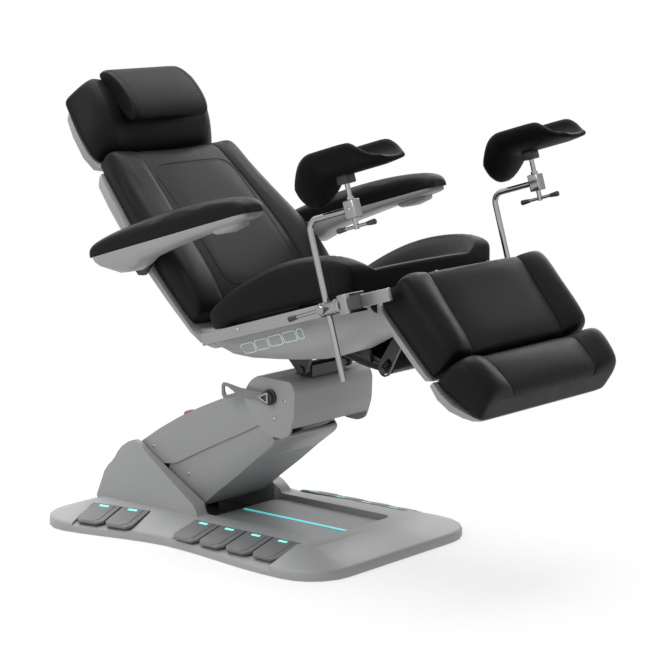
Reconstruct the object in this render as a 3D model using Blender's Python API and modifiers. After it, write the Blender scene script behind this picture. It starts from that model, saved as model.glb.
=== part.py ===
"""Gynecological examination chair with a lifting column, reclining back and stirrups.

Metres, +Z up. The origin is on the floor under the middle of the base, +Y points to the
head end and +X to the patient's left. Each section is drawn flat in its own frame, whose
empty sits on the section's hinge, and the frames are turned to the resting pose.
"""
import math

import bmesh
import bpy
from mathutils import Matrix, Vector

# Clearances, and reaches that carry a cutter well past what it cuts
GAP = 0.0003
HOLE_GAP = 0.0003
ABOVE = 0.060
BEYOND = 0.200
OVERCUT = 0.010
ROOT = 0.002

# Base
BASE_LENGTH = 1.050
BASE_FRONT_HALF = 0.354
BASE_WAIST_HALF = 0.316
BASE_REAR_HALF = 0.388
BASE_WAIST_Y = 0.050
BASE_FLARE_RUN = 0.400
BASE_CORNER = 0.130
BASE_EDGE = 0.028
BASE_EDGE_ROUND = 0.006
BASE_FOOT_INSET = 0.0015
BASE_FOOT_HEIGHT = 0.003
BASE_SLOPE_RUN = 0.112
BASE_TOP = 0.062
TRAY_HALF = 0.158
TRAY_MARGIN = 0.163
TRAY_FRONT_Y = TRAY_MARGIN - BASE_LENGTH / 2
TRAY_FLOOR = 0.045
TRAY_CORNER = 0.030
PIT_HALF = 0.1475
PIT_FRONT_Y = 0.062
PIT_REAR_Y = 0.404
CHEEK_INNER = 0.1475
CHEEK_TOP_OUTER = 0.162
CHEEK_SPREAD = 0.22
REAR_WALL = 0.022
REAR_WALL_TOP = 0.158
FLOOR_PLATE = 0.012
LIGHT_HALF = 0.0055
LIGHT_REAR_Y = 0.050
LIGHT_MARGIN = 0.021
LIGHT_FRONT_Y = TRAY_FRONT_Y + LIGHT_MARGIN
LIGHT_HEIGHT = 0.0014

# Foot keys
PEDAL_PITCH = 0.097
PEDAL_WIDTH = 0.092
PEDAL_LENGTH = 0.108
PEDAL_THICK = 0.009
PEDAL_PROUD = 0.004
PEDAL_CHAMFER = 0.016
PEDAL_SLOPE = 14.0
PEDAL_ROOM = 0.0075
FRONT_ROW_INSET = 0.132
PEDAL_HINGE_X = BASE_FRONT_HALF - FRONT_ROW_INSET
PEDAL_HINGE_Z = 0.0600
FRONT_ROW_COUNT = 4
REAR_ROW_COUNT = 2
FRONT_ROW_MARGIN = 0.3645
FRONT_ROW_Y = FRONT_ROW_MARGIN - BASE_LENGTH / 2
REAR_ROW_INSET = 0.137
REAR_ROW_X = BASE_REAR_HALF - REAR_ROW_INSET
REAR_ROW_MARGIN = 0.235
REAR_ROW_Y = BASE_LENGTH / 2 - REAR_ROW_MARGIN
REAR_ROW_TURN = 11.0

# Lift column
LIFT_Y = 0.272
LIFT_Z = 0.221
LIFT_LENGTH = 0.494
LIFT_ANGLE = 24.4
PIVOT_STEP = 0.030
PIVOT_DROP = 0.080
ARM_HALF = 0.055
ARM_EYE = 0.022
EAR_THICK = 0.012
PIN_RADIUS = 0.012
PIN_PROUD = 0.006
UPPER_COVER_HALF = 0.142
LOWER_COVER_HALF = 0.135
COVER_WALL = 0.005
COVER_ROUND = 0.012
UPPER_COVER_EDGE = 0.006
LOWER_COVER_EDGE = 0.005
BUTTON_V = -0.036
BUTTON_RADIUS = 0.019
BUTTON_CAP = 0.016
BUTTON_STEM = 0.010
BUTTON_TRAVEL = 0.006
BUTTON_SEAT = 0.0200
BUTTON_TILT = 8.0
BUTTON_WELL_FLOOR = 0.004
BUTTON_CAP_TAPER = 0.86
MOTOR_RADIUS = 0.032
MOTOR_HALF = 0.085
MOTOR_ROOM = 0.006

# Column head
HEAD_HALF = 0.166
HEAD_WALL = 0.008
HEAD_ROUND = 0.010
TILT_Y = -0.072
TILT_Z = 0.075
NECK_HALF = 0.070
NECK_ROOM = 0.004
HUB_RADIUS = 0.022
HUB_LENGTH = 0.022
LEVER_THICK = 0.006
LEVER_STANDOFF = 0.008
LEVER_ROUND = 0.010
LEVER_Y = -0.020
LEVER_Z = 0.005

# Seat
SEAT_ANGLE = 16.5
DATUM_V = 0.103
DATUM_W = 0.119
RAIL_LENGTH = 0.661
RAIL_HEIGHT = 0.033
RAIL_OUTER = 0.346
RAIL_THICK = 0.012
RAIL_EDGE = 0.0012
PLATE_LOW = 0.010
PLATE_HALF = 0.285
BRACKET_INNER = 0.088
BRACKET_THICK = 0.012
PAN_HALF = 0.298
PAN_WALL = 0.004
SEAT_BOTTOM = 0.036
PLATE_HIGH = SEAT_BOTTOM - GAP

# Back
BACK_V = 0.022
BACK_W = 0.008
BACK_ANGLE = 45.0
BACK_PIN = 0.010
BACK_EAR_INNER = 0.148
BACK_EAR_THICK = 0.019
BACK_EAR_RADIUS = 0.018
BACK_SLOT_GAP = 0.002
BACK_SEAM = -0.022
BARREL_ROUND = 0.010
STAY_X = 0.070
STAY_RADIUS = 0.007
STAY_LENGTH = 0.140
BACK_LENGTH = 0.645
HEADREST_DROP = 0.011
HEADREST_V = BACK_LENGTH - HEADREST_DROP
HEADREST_W = -0.043
HEADREST_TURN = 10.0
HEADREST_TUBE = 0.008
HEADREST_LUG_INNER = 0.104
HEADREST_LUG_THICK = 0.020
HEADREST_SKIN = 0.001
BRACKET_ROOM = 0.020

# Armrests
ARM_V = 0.302
ARM_X = 0.386
ARM_HALF_WIDTH = 0.044
ARM_SEAM = 0.028
ARM_PIN = 0.010
ARM_BOSS = 0.021
ARM_BRACKET_INNER = 0.3003
ARM_BRACKET_THICK = 0.014
ARM_BRACKET_ROUND = 0.014

# Leg rest
LEG_V = -0.634
LEG_W = 0.044
LEG_ANGLE = 45.5
LEG_SHAFT = 0.008
LEG_EAR_INNER = 0.104
LEG_EAR_THICK = 0.012
LEVER_PLATE_INNER = 0.076
LEVER_PLATE_THICK = 0.008
LEG_START = -0.0115
LEG_END = -0.256
LEG_SEAM = -0.066
FOOT_START = -0.264
FOOT_END = -0.414
FOOT_ROD_X = 0.120
FOOT_ROD_RADIUS = 0.007
FOOT_ROD_W = -0.078
PUSH_V = 0.260
PUSH_W = -0.212
PUSH_TRAVEL_ANGLE = 45.0
PUSH_HALF = 0.060
PUSH_LENGTH = 0.335
PUSH_PIN = 0.009
PUSH_SLOT = 0.027
PUSH_PIN_ROOM = 0.0032
PLATE_ROUND = 0.008
LEVER_PLATE_HALF = 0.098
LEVER_PLATE_LOW = -0.084
LEVER_PLATE_HIGH = -0.014
LEVER_PLATE_REAR = -0.0050

# Stirrups
POST_X = 0.392
POST_SETBACK = 0.164
POST_V = POST_SETBACK - RAIL_LENGTH
POST_LOW = -0.170
POST_HIGH = 0.240
POST_RADIUS = 0.008
POST_BEND = 0.028
POST_REACH = 0.150
STEM_V = POST_V - POST_REACH
STEM_LOW = 0.189
STEM_HIGH = 0.304
STEM_RADIUS = 0.0065
TEE_LENGTH = 0.124
TEE_RADIUS = 0.0045
CLAMP_BLOCK_V = 0.034
CLAMP_BLOCK_W = 0.046
CLAMP_BLOCK_X = 0.030
BARREL_RADIUS = 0.019
BARREL_LENGTH = 0.066
JAW_V = 0.028
JAW_LIP = 0.009
JAW_HOOK = 0.006
JAW_REACH = 0.012
JAW_EDGE = 0.002
BARREL_SETBACK = 0.020
LEVER_HUB_LENGTH = 0.014
LEVER_HUB_RADIUS = 0.011
CLAMP_LEVER_DROP = 0.004
TIP_LENGTH = 0.026
TIP_STEP = 0.0008
TIP_FLARE = 0.0028
TEE_RISE = 0.007
COLLAR_HEIGHT = 0.008
COLLAR_STEP = 0.003
BLOCK_EDGE = 0.003
CLAMP_LEVER_LENGTH = 0.108
CLAMP_LEVER_RADIUS = 0.0048
PAD_REACH = 0.145
PAD_FRONT = STEM_V - PAD_REACH
PAD_LENGTH = 0.290
PAD_HALF = 0.078
PAD_THICK = 0.014
PAD_FLOOR = 0.331
MOUNT_SIZE = 0.036

# Finishes: colour, roughness, metallic
SHELL_GREY = ((0.330, 0.335, 0.340), 0.45, 0.0)
KEY_GREY = ((0.165, 0.170, 0.175), 0.50, 0.0)
UPHOLSTERY = ((0.020, 0.020, 0.021), 0.42, 0.0)
BLACK = ((0.012, 0.012, 0.012), 0.50, 0.0)
STEEL = ((0.420, 0.420, 0.420), 0.40, 1.0)
ALUMINIUM = ((0.560, 0.560, 0.555), 0.38, 1.0)
CHROME = ((0.680, 0.680, 0.690), 0.12, 1.0)
RED = ((0.450, 0.015, 0.015), 0.35, 0.0)
CYAN = ((0.220, 0.720, 0.740), 0.40, 0.0)

for leftover in list(bpy.data.objects):
    bpy.data.objects.remove(leftover, do_unlink=True)
PARTS = bpy.data.collections.new("examination_chair")
CUTTERS = bpy.data.collections.new("cutters")
bpy.context.scene.collection.children.link(PARTS)
bpy.context.scene.collection.children.link(CUTTERS)


def frame(name, parent=None, y=0.0, z=0.0, tilt=0.0):
    """An empty on a hinge line, tilted about X."""
    empty = bpy.data.objects.new(name, None)
    PARTS.objects.link(empty)
    empty.parent = parent
    empty.location = (0.0, y, z)
    empty.rotation_euler = (math.radians(tilt), 0.0, 0.0)
    return empty


def place(name, mesh, parent, look):
    """Put a mesh in the scene: a part with its own material, or a cutter when look is None."""
    item = bpy.data.objects.new(name, mesh)
    item.parent = parent
    if look is None:
        CUTTERS.objects.link(item)
        item.hide_render = True
        item.display_type = "WIRE"
        return item
    PARTS.objects.link(item)
    colour, roughness, metallic = look
    material = bpy.data.materials.new(name)
    material.use_nodes = True
    shader = material.node_tree.nodes["Principled BSDF"]
    shader.inputs["Base Color"].default_value = (*colour, 1.0)
    shader.inputs["Roughness"].default_value = roughness
    shader.inputs["Metallic"].default_value = metallic
    mesh.materials.append(material)
    return item


def finish_mesh(name, shape, smooth=True):
    """Turn an edited shape into a mesh with its faces pointing out."""
    bmesh.ops.recalc_face_normals(shape, faces=shape.faces)
    if shape.calc_volume(signed=True) < 0:
        bmesh.ops.reverse_faces(shape, faces=shape.faces)
    mesh = bpy.data.meshes.new(name)
    shape.to_mesh(mesh)
    shape.free()
    if smooth:
        mesh.shade_smooth()
        mesh.set_sharp_from_angle(angle=math.radians(35.0))
    return mesh


def curve_mesh(name, curve, turn=Matrix.Identity(4)):
    """Evaluate a curve, weld its caps and turn the mesh into place."""
    holder = bpy.data.objects.new(name, curve)
    CUTTERS.objects.link(holder)
    evaluated = holder.evaluated_get(bpy.context.evaluated_depsgraph_get())
    mesh = bpy.data.meshes.new_from_object(evaluated)
    bpy.data.objects.remove(holder, do_unlink=True)
    shape = bmesh.new()
    shape.from_mesh(mesh)
    bpy.data.meshes.remove(mesh)
    bmesh.ops.remove_doubles(shape, verts=shape.verts, dist=1e-6)
    shape.transform(turn)
    return finish_mesh(name, shape)


def flat_curve(name, outlines, thickness):
    """A filled 2D curve of one or more outlines, the inner ones being holes."""
    curve = bpy.data.curves.new(name, "CURVE")
    curve.dimensions = "2D"
    curve.fill_mode = "BOTH"
    curve.extrude = thickness / 2
    for outline in outlines:
        spline = curve.splines.new("POLY")
        spline.points.add(len(outline) - 1)
        for point, (a, b) in zip(spline.points, outline):
            point.co = (a, b, 0.0, 1.0)
        spline.use_cyclic_u = True
    return curve


SIDE_VIEW = Matrix(((0, 0, 1, 0), (1, 0, 0, 0), (0, 1, 0, 0), (0, 0, 0, 1)))


def slab(name, outline, x_low, x_high, parent=None, look=None, holes=()):
    """A side outline in (y, z), as thick as from x_low to x_high."""
    curve = flat_curve(name, [outline, *holes], abs(x_high - x_low))
    turn = Matrix.Translation(((x_low + x_high) / 2, 0, 0)) @ SIDE_VIEW
    return place(name, curve_mesh(name, curve, turn), parent, look)


def plate(name, outline, z_low, z_high, parent=None, look=None, holes=()):
    """A plan outline in (x, y), as thick as from z_low to z_high."""
    curve = flat_curve(name, [outline, *holes], z_high - z_low)
    turn = Matrix.Translation((0, 0, (z_low + z_high) / 2))
    return place(name, curve_mesh(name, curve, turn), parent, look)


def box(name, low, high, parent=None, look=None):
    """A block between two corners, given in any order."""
    shape = bmesh.new()
    bmesh.ops.create_cube(shape, size=1.0)
    corners = list(zip(low, high))
    low = Vector([min(pair) for pair in corners])
    high = Vector([max(pair) for pair in corners])
    stretch = Matrix.Diagonal((*(high - low), 1.0))
    shape.transform(Matrix.Translation((low + high) / 2) @ stretch)
    return place(name, finish_mesh(name, shape, smooth=False), parent, look)


def rod(name, start, end, radius, parent=None, look=None, sides=10, end_radius=None):
    """A round bar, or a cone, between two points."""
    start, end = Vector(start), Vector(end)
    shape = bmesh.new()
    top = radius if end_radius is None else end_radius
    bmesh.ops.create_cone(shape, cap_ends=True, segments=sides, radius1=radius, radius2=top,
                          depth=(end - start).length)
    turn = Vector((0, 0, 1)).rotation_difference(end - start).to_matrix().to_4x4()
    shape.transform(Matrix.Translation((start + end) / 2) @ turn)
    return place(name, finish_mesh(name, shape), parent, look)


def hole(radius, sides=10):
    """Radius of a many-sided bore whose flats clear a round bar."""
    return (radius + HOLE_GAP) / math.cos(math.pi / sides)


def tube(name, points, radius, parent=None, look=None, rings=2):
    """A round bar bent along points."""
    curve = bpy.data.curves.new(name, "CURVE")
    curve.dimensions = "3D"
    curve.bevel_depth = radius
    curve.bevel_resolution = rings
    curve.use_fill_caps = True
    spline = curve.splines.new("POLY")
    spline.points.add(len(points) - 1)
    for point, spot in zip(spline.points, points):
        point.co = (*spot, 1.0)
    return place(name, curve_mesh(name, curve), parent, look)


def loft(name, rings, parent=None, look=None, soften=0):
    """A closed skin through rings of equal count, with flat ends."""
    shape = bmesh.new()
    loops = [[shape.verts.new(point) for point in ring] for ring in rings]
    count = len(loops[0])
    for first, second in zip(loops, loops[1:]):
        for i in range(count):
            j = (i + 1) % count
            shape.faces.new((first[i], first[j], second[j], second[i]))
    shape.faces.new(loops[0])
    shape.faces.new(loops[-1])
    item = place(name, finish_mesh(name, shape), parent, look)
    if soften:
        subdivision = item.modifiers.new("soften", "SUBSURF")
        subdivision.levels = soften
        subdivision.render_levels = soften
    return item


def change(item, operation, tools):
    """Cut, join or trim an object with hidden tools, one after the other."""
    for tool in tools:
        modifier = item.modifiers.new(tool.name, "BOOLEAN")
        modifier.operation = operation
        modifier.object = tool
        modifier.solver = "EXACT"


def cut(item, *tools):
    change(item, "DIFFERENCE", tools)


def join(item, *tools):
    change(item, "UNION", tools)


def bevel(item, width, segments=2, angle=40.0):
    modifier = item.modifiers.new("edges", "BEVEL")
    modifier.width = width
    modifier.segments = segments
    modifier.limit_method = "ANGLE"
    modifier.angle_limit = math.radians(angle)


def round_corners(outline, radius, steps=1):
    """An outline with each corner swept round, no further than a third of its sides."""
    rounded = []
    count = len(outline)
    for i, corner in enumerate(outline):
        here = Vector(corner)
        before = Vector(outline[i - 1]) - here
        after = Vector(outline[(i + 1) % count]) - here
        start = here + before.normalized() * min(radius, before.length / 3)
        end = here + after.normalized() * min(radius, after.length / 3)
        for k in range(steps + 1):
            t = k / steps
            spot = start * (1 - t) ** 2 + here * (2 * t * (1 - t)) + end * t ** 2
            rounded.append((spot.x, spot.y))
    return rounded


def arc(centre, radius, start, end, steps):
    """Points on an arc, with angles in degrees."""
    points = []
    for k in range(steps + 1):
        angle = math.radians(start + (end - start) * k / steps)
        points.append((centre[0] + radius * math.cos(angle), centre[1] + radius * math.sin(angle)))
    return points


def stadium(first, second, radius, steps=5):
    """The outline of a bar with round ends, from one centre to the other."""
    along = math.degrees(math.atan2(second[1] - first[1], second[0] - first[0]))
    return (arc(second, radius, along - 90, along + 90, steps)
            + arc(first, radius, along + 90, along + 270, steps))


def blend(low, high, share):
    return low + (high - low) * share


def smooth_step(share):
    share = min(max(share, 0.0), 1.0)
    return share * share * (3 - 2 * share)


# Base cover: a waisted plinth with a sunk tray, two cheeks and pockets for the foot keys
def base_half(y, inset):
    """Half width of the plinth at y, moved in by inset, with the corners rounded off."""
    if y > BASE_WAIST_Y:
        half = blend(BASE_WAIST_HALF, BASE_REAR_HALF, smooth_step((y - BASE_WAIST_Y) / BASE_FLARE_RUN))
    else:
        half = blend(BASE_WAIST_HALF, BASE_FRONT_HALF, smooth_step((BASE_WAIST_Y - y) / BASE_FLARE_RUN))
    corner = BASE_CORNER - inset
    into_corner = abs(y) - (BASE_LENGTH / 2 - BASE_CORNER)
    if into_corner > 0:
        half -= corner - math.sqrt(max(corner ** 2 - into_corner ** 2, 0.0))
    return half - inset


def base_outline(inset):
    """The plinth's plan, moved in by inset."""
    straight = BASE_LENGTH / 2 - BASE_CORNER
    corner = [(BASE_CORNER - inset) * math.sin(math.radians(a)) for a in (90, 72, 54, 36, 18)]
    stops = [straight + step for step in corner]
    stops += [straight * (1 - k / 6) for k in range(13)]
    stops += [-straight - step for step in reversed(corner)]
    side = [(base_half(y, inset), y) for y in stops]
    return side + [(-x, y) for x, y in reversed(side)]


def ring_at(inset, z):
    return [(x, y, z) for x, y in base_outline(inset)]


base_cover = loft("base_cover", [
    ring_at(BASE_FOOT_INSET, 0.0),
    ring_at(0.0, BASE_FOOT_HEIGHT),
    ring_at(0.0, BASE_EDGE - BASE_EDGE_ROUND),
    ring_at(BASE_EDGE_ROUND * 0.35, BASE_EDGE - BASE_EDGE_ROUND * 0.3),
    ring_at(BASE_EDGE_ROUND * 1.2, BASE_EDGE + BASE_EDGE_ROUND * 0.25),
    ring_at(BASE_SLOPE_RUN, BASE_TOP),
], None, SHELL_GREY)

CHEEK_OUTLINE = [(0.450, 0.050), (0.426, 0.145), (0.399, 0.168), (0.383, 0.204), (0.343, 0.233),
                 (0.313, 0.235), (0.278, 0.208), (0.160, 0.141), (0.060, 0.086), (0.040, 0.050)]
CHEEK_HIGH = max(z for y, z in CHEEK_OUTLINE)


def cheek_wall(side):
    """An upright cheek whose outer face spreads towards the floor."""
    outline = round_corners(CHEEK_OUTLINE, 0.012)
    inner = [(side * CHEEK_INNER, y, z) for y, z in outline]
    outer = [(side * (CHEEK_TOP_OUTER + (CHEEK_HIGH - z) * CHEEK_SPREAD), y, z) for y, z in outline]
    return loft(f"cheek_{side}", [inner, outer])


rear_wall = box("rear_wall", (-CHEEK_INNER - ROOT, PIT_REAR_Y, BASE_EDGE),
                (CHEEK_INNER + ROOT, PIT_REAR_Y + REAR_WALL, REAR_WALL_TOP))
join(base_cover, cheek_wall(-1), cheek_wall(1), rear_wall)
pit = box("pit", (-PIT_HALF, PIT_FRONT_Y, -OVERCUT), (PIT_HALF, PIT_REAR_Y, BASE_TOP + OVERCUT))
TRAY_REAR_Y = PIT_FRONT_Y + OVERCUT
tray = plate("tray", round_corners([(-TRAY_HALF, TRAY_FRONT_Y), (TRAY_HALF, TRAY_FRONT_Y),
                                    (TRAY_HALF, TRAY_REAR_Y), (-TRAY_HALF, TRAY_REAR_Y)],
                                   TRAY_CORNER, 4), TRAY_FLOOR, BASE_TOP + ABOVE)
cut(base_cover, pit, tray)


def pedal_frame(name, side, x, y, turn):
    """A frame on a key's hinge line: +X points outwards and down the slope."""
    empty = frame(name)
    facing = Matrix.Rotation(math.pi if side < 0 else 0.0, 4, "Z")
    yaw = Matrix.Rotation(math.radians(-turn * side), 4, "Z")
    slope = Matrix.Rotation(math.radians(PEDAL_SLOPE), 4, "Y")
    empty.matrix_world = Matrix.Translation((side * x, y, PEDAL_HINGE_Z)) @ yaw @ facing @ slope
    return empty


KEY_TOP = PEDAL_PROUD
KEY_BOTTOM = PEDAL_PROUD - PEDAL_THICK


def pedal_row(side, word, first, count, x, y, turn):
    """A row of keys and the pocket that they lie in."""
    row = pedal_frame(f"pedal_row_{word}_{first}", side, x, y, turn)
    half_row = count * PEDAL_PITCH / 2
    pocket = box(f"pocket_{word}_{first}", (-GAP, -half_row, KEY_BOTTOM - PEDAL_ROOM),
                 (PEDAL_LENGTH + ABOVE, half_row, ABOVE), row)
    cut(base_cover, pocket)
    for k in range(count):
        centre = -side * (k - (count - 1) / 2) * PEDAL_PITCH
        hinge = frame(f"pedal_axis_{word}_{first + k}", row, centre, (KEY_TOP + KEY_BOTTOM) / 2)
        half = PEDAL_WIDTH / 2
        outline = [(GAP, -half), (PEDAL_LENGTH - PEDAL_CHAMFER, -half), (PEDAL_LENGTH, -half + PEDAL_CHAMFER),
                   (PEDAL_LENGTH, half - PEDAL_CHAMFER), (PEDAL_LENGTH - PEDAL_CHAMFER, half), (GAP, half)]
        plate(f"pedal_{word}_{first + k}", outline, -PEDAL_THICK / 2, PEDAL_THICK / 2, hinge, KEY_GREY)


for side, word in ((-1, "right"), (1, "left")):
    pedal_row(side, word, 1, FRONT_ROW_COUNT, PEDAL_HINGE_X, FRONT_ROW_Y, 0.0)
    pedal_row(side, word, 1 + FRONT_ROW_COUNT, REAR_ROW_COUNT, REAR_ROW_X, REAR_ROW_Y, REAR_ROW_TURN)

box("tray_light", (-LIGHT_HALF, LIGHT_FRONT_Y, TRAY_FLOOR + GAP),
    (LIGHT_HALF, LIGHT_REAR_Y, TRAY_FLOOR + GAP + LIGHT_HEIGHT), None, CYAN)

# Base frame: the floor plate in the pit, with two ears and the lower pivot pins
EAR_INNER = ARM_HALF + 2 * GAP
EAR_OUTER = EAR_INNER + EAR_THICK
PIN_HALF = EAR_OUTER + PIN_PROUD
LOW_PIVOT = (LIFT_Y - PIVOT_STEP, LIFT_Z - PIVOT_DROP)
base_frame = box("base_frame", (-PIT_HALF + GAP, PIT_FRONT_Y + GAP, 0.0),
                 (PIT_HALF - GAP, PIT_REAR_Y - GAP, FLOOR_PLATE), None, STEEL)
EAR_OUTLINE = round_corners([
    (LOW_PIVOT[0] - 0.030, FLOOR_PLATE - 0.004), (LIFT_Y + 0.055, FLOOR_PLATE - 0.004),
    (LIFT_Y + 0.019, LIFT_Z + 0.008), (LIFT_Y, LIFT_Z + 0.0205), (LIFT_Y - 0.018, LIFT_Z + 0.009),
    (LOW_PIVOT[0] - 0.026, LOW_PIVOT[1] + 0.010)], 0.006)
for side in (-1, 1):
    join(base_frame, slab(f"base_ear_{side}", EAR_OUTLINE, side * EAR_INNER, side * EAR_OUTER))
join(base_frame, rod("pin_a1", (-PIN_HALF, LIFT_Y, LIFT_Z), (PIN_HALF, LIFT_Y, LIFT_Z), PIN_RADIUS),
     rod("pin_b1", (-PIN_HALF, *LOW_PIVOT), (PIN_HALF, *LOW_PIVOT), PIN_RADIUS))
MOTOR_Y = PIT_REAR_Y - MOTOR_RADIUS - MOTOR_ROOM
MOTOR_Z = FLOOR_PLATE + GAP + MOTOR_RADIUS
rod("lift_motor", (-MOTOR_HALF, MOTOR_Y, MOTOR_Z), (MOTOR_HALF, MOTOR_Y, MOTOR_Z), MOTOR_RADIUS,
    None, BLACK, 20)

# Lift arms and their covers, each drawn along its own arm
upper_lift = frame("upper_lift_axis", None, LIFT_Y, LIFT_Z, -LIFT_ANGLE)
lower_lift = frame("lower_lift_axis", None, *LOW_PIVOT, -LIFT_ANGLE)
BEARING = hole(PIN_RADIUS)


def lift_arm(name, parent):
    """A bar with an eye at each end."""
    arm = slab(name, stadium((-LIFT_LENGTH, 0), (0, 0), ARM_EYE), -ARM_HALF, ARM_HALF, parent, STEEL)
    for k, v in enumerate((0.0, -LIFT_LENGTH)):
        cut(arm, rod(f"{name}_eye_{k}", (-BEYOND, v, 0), (BEYOND, v, 0), BEARING, parent))
    return arm


lift_arm("upper_arm", upper_lift)
lift_arm("lower_arm", lower_lift)
ARM_TOP = ARM_EYE + GAP

UPPER_COVER_OUTLINE = [(0.064, -0.010), (0.058, 0.018), (0.040, 0.027), (-0.046, 0.040), (-0.137, 0.048),
                       (-0.224, 0.050), (-0.315, 0.048), (-0.425, 0.040), (-0.432, -0.020), (-0.420, -0.060),
                       (-0.170, -0.065), (-0.067, -0.070), (-0.040, -0.063), (0.050, -0.036)]
upper_cover = slab("upper_arm_cover", round_corners(UPPER_COVER_OUTLINE, COVER_ROUND, 2),
                   -UPPER_COVER_HALF, UPPER_COVER_HALF, upper_lift, SHELL_GREY)
bevel(upper_cover, UPPER_COVER_EDGE, 1)
inside = UPPER_COVER_HALF - COVER_WALL
cut(upper_cover, box("upper_cover_inside", (-inside, -LIFT_LENGTH - BEYOND, -BEYOND),
                     (inside, BEYOND, ARM_TOP), upper_lift))
button_frame = frame("stop_button_axis", upper_lift, BUTTON_V, ARM_TOP, BUTTON_TILT)
BUTTON_LOW = BUTTON_SEAT + BUTTON_TRAVEL
cut(upper_cover, rod("button_well", (0, 0, BUTTON_WELL_FLOOR), (0, 0, ABOVE), hole(BUTTON_STEM), button_frame))
stop_button = rod("stop_button", (0, 0, BUTTON_WELL_FLOOR + BUTTON_TRAVEL), (0, 0, BUTTON_LOW + BUTTON_CAP / 2),
                  BUTTON_STEM, button_frame, RED)
join(stop_button, rod("button_cap", (0, 0, BUTTON_LOW), (0, 0, BUTTON_LOW + BUTTON_CAP), BUTTON_RADIUS,
                      button_frame, None, 24, BUTTON_RADIUS * BUTTON_CAP_TAPER))

LOWER_COVER_OUTLINE = [(-0.430, 0.040), (-0.060, 0.034), (-0.028, 0.012), (-0.030, -0.060), (-0.075, -0.118),
                       (-0.107, -0.125), (-0.181, -0.104), (-0.274, -0.083), (-0.368, -0.058),
                       (-0.440, -0.042), (-0.456, -0.030)]
lower_cover = slab("lower_arm_cover", round_corners(LOWER_COVER_OUTLINE, COVER_ROUND, 2),
                   -LOWER_COVER_HALF, LOWER_COVER_HALF, lower_lift, SHELL_GREY)
bevel(lower_cover, LOWER_COVER_EDGE, 1)
inside = LOWER_COVER_HALF - COVER_WALL
cut(lower_cover, box("lower_cover_inside", (-inside, -LIFT_LENGTH - BEYOND, -ARM_TOP),
                     (inside, BEYOND, BEYOND), lower_lift))

# Column head, kept level by the two arms
head = frame("head_axis", upper_lift, -LIFT_LENGTH, 0.0, LIFT_ANGLE)
HEAD_OUTLINE = [(0.027, 0.058), (0.054, 0.041), (0.075, 0.010), (0.077, -0.014), (0.060, -0.042),
                (0.025, -0.081), (-0.014, -0.104), (-0.060, -0.106), (-0.085, -0.094), (-0.103, -0.040),
                (-0.106, 0.030), (-0.092, 0.054)]
head_housing = slab("head_housing", round_corners(HEAD_OUTLINE, HEAD_ROUND, 2), -HEAD_HALF, HEAD_HALF,
                    head, SHELL_GREY)
bevel(head_housing, HEAD_ROUND, 2)
inside = HEAD_HALF - HEAD_WALL
HEAD_ROOF = max(z for y, z in HEAD_OUTLINE) - HEAD_WALL
cut(head_housing,
    slab("head_inside", [(-0.082, -BEYOND), (-0.094, -0.040), (-0.096, 0.028), (-0.086, HEAD_ROOF),
                         (BEYOND, HEAD_ROOF), (BEYOND, -BEYOND)], -inside, inside, head),
    box("neck_opening", (-NECK_HALF - NECK_ROOM, TILT_Y - 0.017, HEAD_ROOF - OVERCUT),
        (NECK_HALF + NECK_ROOM, TILT_Y + 0.048, HEAD_ROOF + ABOVE), head))

LOW_HEAD = (-PIVOT_STEP, -PIVOT_DROP)
NECK_LOW = ARM_EYE + 0.003
NECK_OUTLINE = round_corners([(-0.086, NECK_LOW), (0.026, NECK_LOW), (0.026, HEAD_ROOF - GAP),
                              (TILT_Y + 0.030, HEAD_ROOF), (TILT_Y + 0.018, TILT_Z + 0.018),
                              (TILT_Y - 0.014, TILT_Z + 0.018), (TILT_Y - 0.014, 0.046)], 0.008)
head_frame = slab("head_frame", NECK_OUTLINE, -NECK_HALF, NECK_HALF, head, STEEL)
HEAD_EAR_OUTLINE = round_corners([(-0.078, NECK_LOW + 0.012), (0.024, NECK_LOW + 0.012), (0.024, -0.020),
                                  (LOW_HEAD[0] + 0.022, LOW_HEAD[1] - 0.016),
                                  (LOW_HEAD[0] - 0.024, LOW_HEAD[1] - 0.016), (-0.070, -0.030)], 0.012)
for side in (-1, 1):
    join(head_frame, slab(f"head_ear_{side}", HEAD_EAR_OUTLINE, side * EAR_INNER, side * EAR_OUTER, head))
TILT_PIN_HALF = BRACKET_INNER + BRACKET_THICK + PIN_PROUD
join(head_frame, rod("pin_a2", (-PIN_HALF, 0, 0), (PIN_HALF, 0, 0), PIN_RADIUS, head),
     rod("pin_b2", (-PIN_HALF, *LOW_HEAD), (PIN_HALF, *LOW_HEAD), PIN_RADIUS, head),
     rod("tilt_pin", (-TILT_PIN_HALF, TILT_Y, TILT_Z), (TILT_PIN_HALF, TILT_Y, TILT_Z), PIN_RADIUS, head))

# Release lever on the right side of the head, with a three-cornered finger loop
lever_axis = frame("release_lever_axis", head, LEVER_Y, LEVER_Z)
LEVER_X = HEAD_HALF + GAP
LEVER_OUTLINE = round_corners([(-0.016, -0.013), (0.030, -0.012), (0.100, -0.008), (0.150, -0.024),
                               (0.168, -0.016), (0.168, 0.016), (0.150, 0.022), (0.100, 0.014),
                               (0.030, 0.013), (-0.016, 0.013)], LEVER_ROUND)
LEVER_LOOP = round_corners([(0.116, -0.001), (0.152, -0.014), (0.159, 0.010), (0.152, 0.013)], LEVER_ROUND / 2)
LEVER_FACE = LEVER_X + LEVER_STANDOFF
release_lever = slab("release_lever", LEVER_OUTLINE, -LEVER_FACE - LEVER_THICK, -LEVER_FACE, lever_axis,
                     SHELL_GREY, [LEVER_LOOP])
join(release_lever, rod("lever_hub", (-LEVER_X, 0, 0), (-LEVER_X - HUB_LENGTH, 0, 0), HUB_RADIUS, lever_axis,
                        None, 24))

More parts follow.
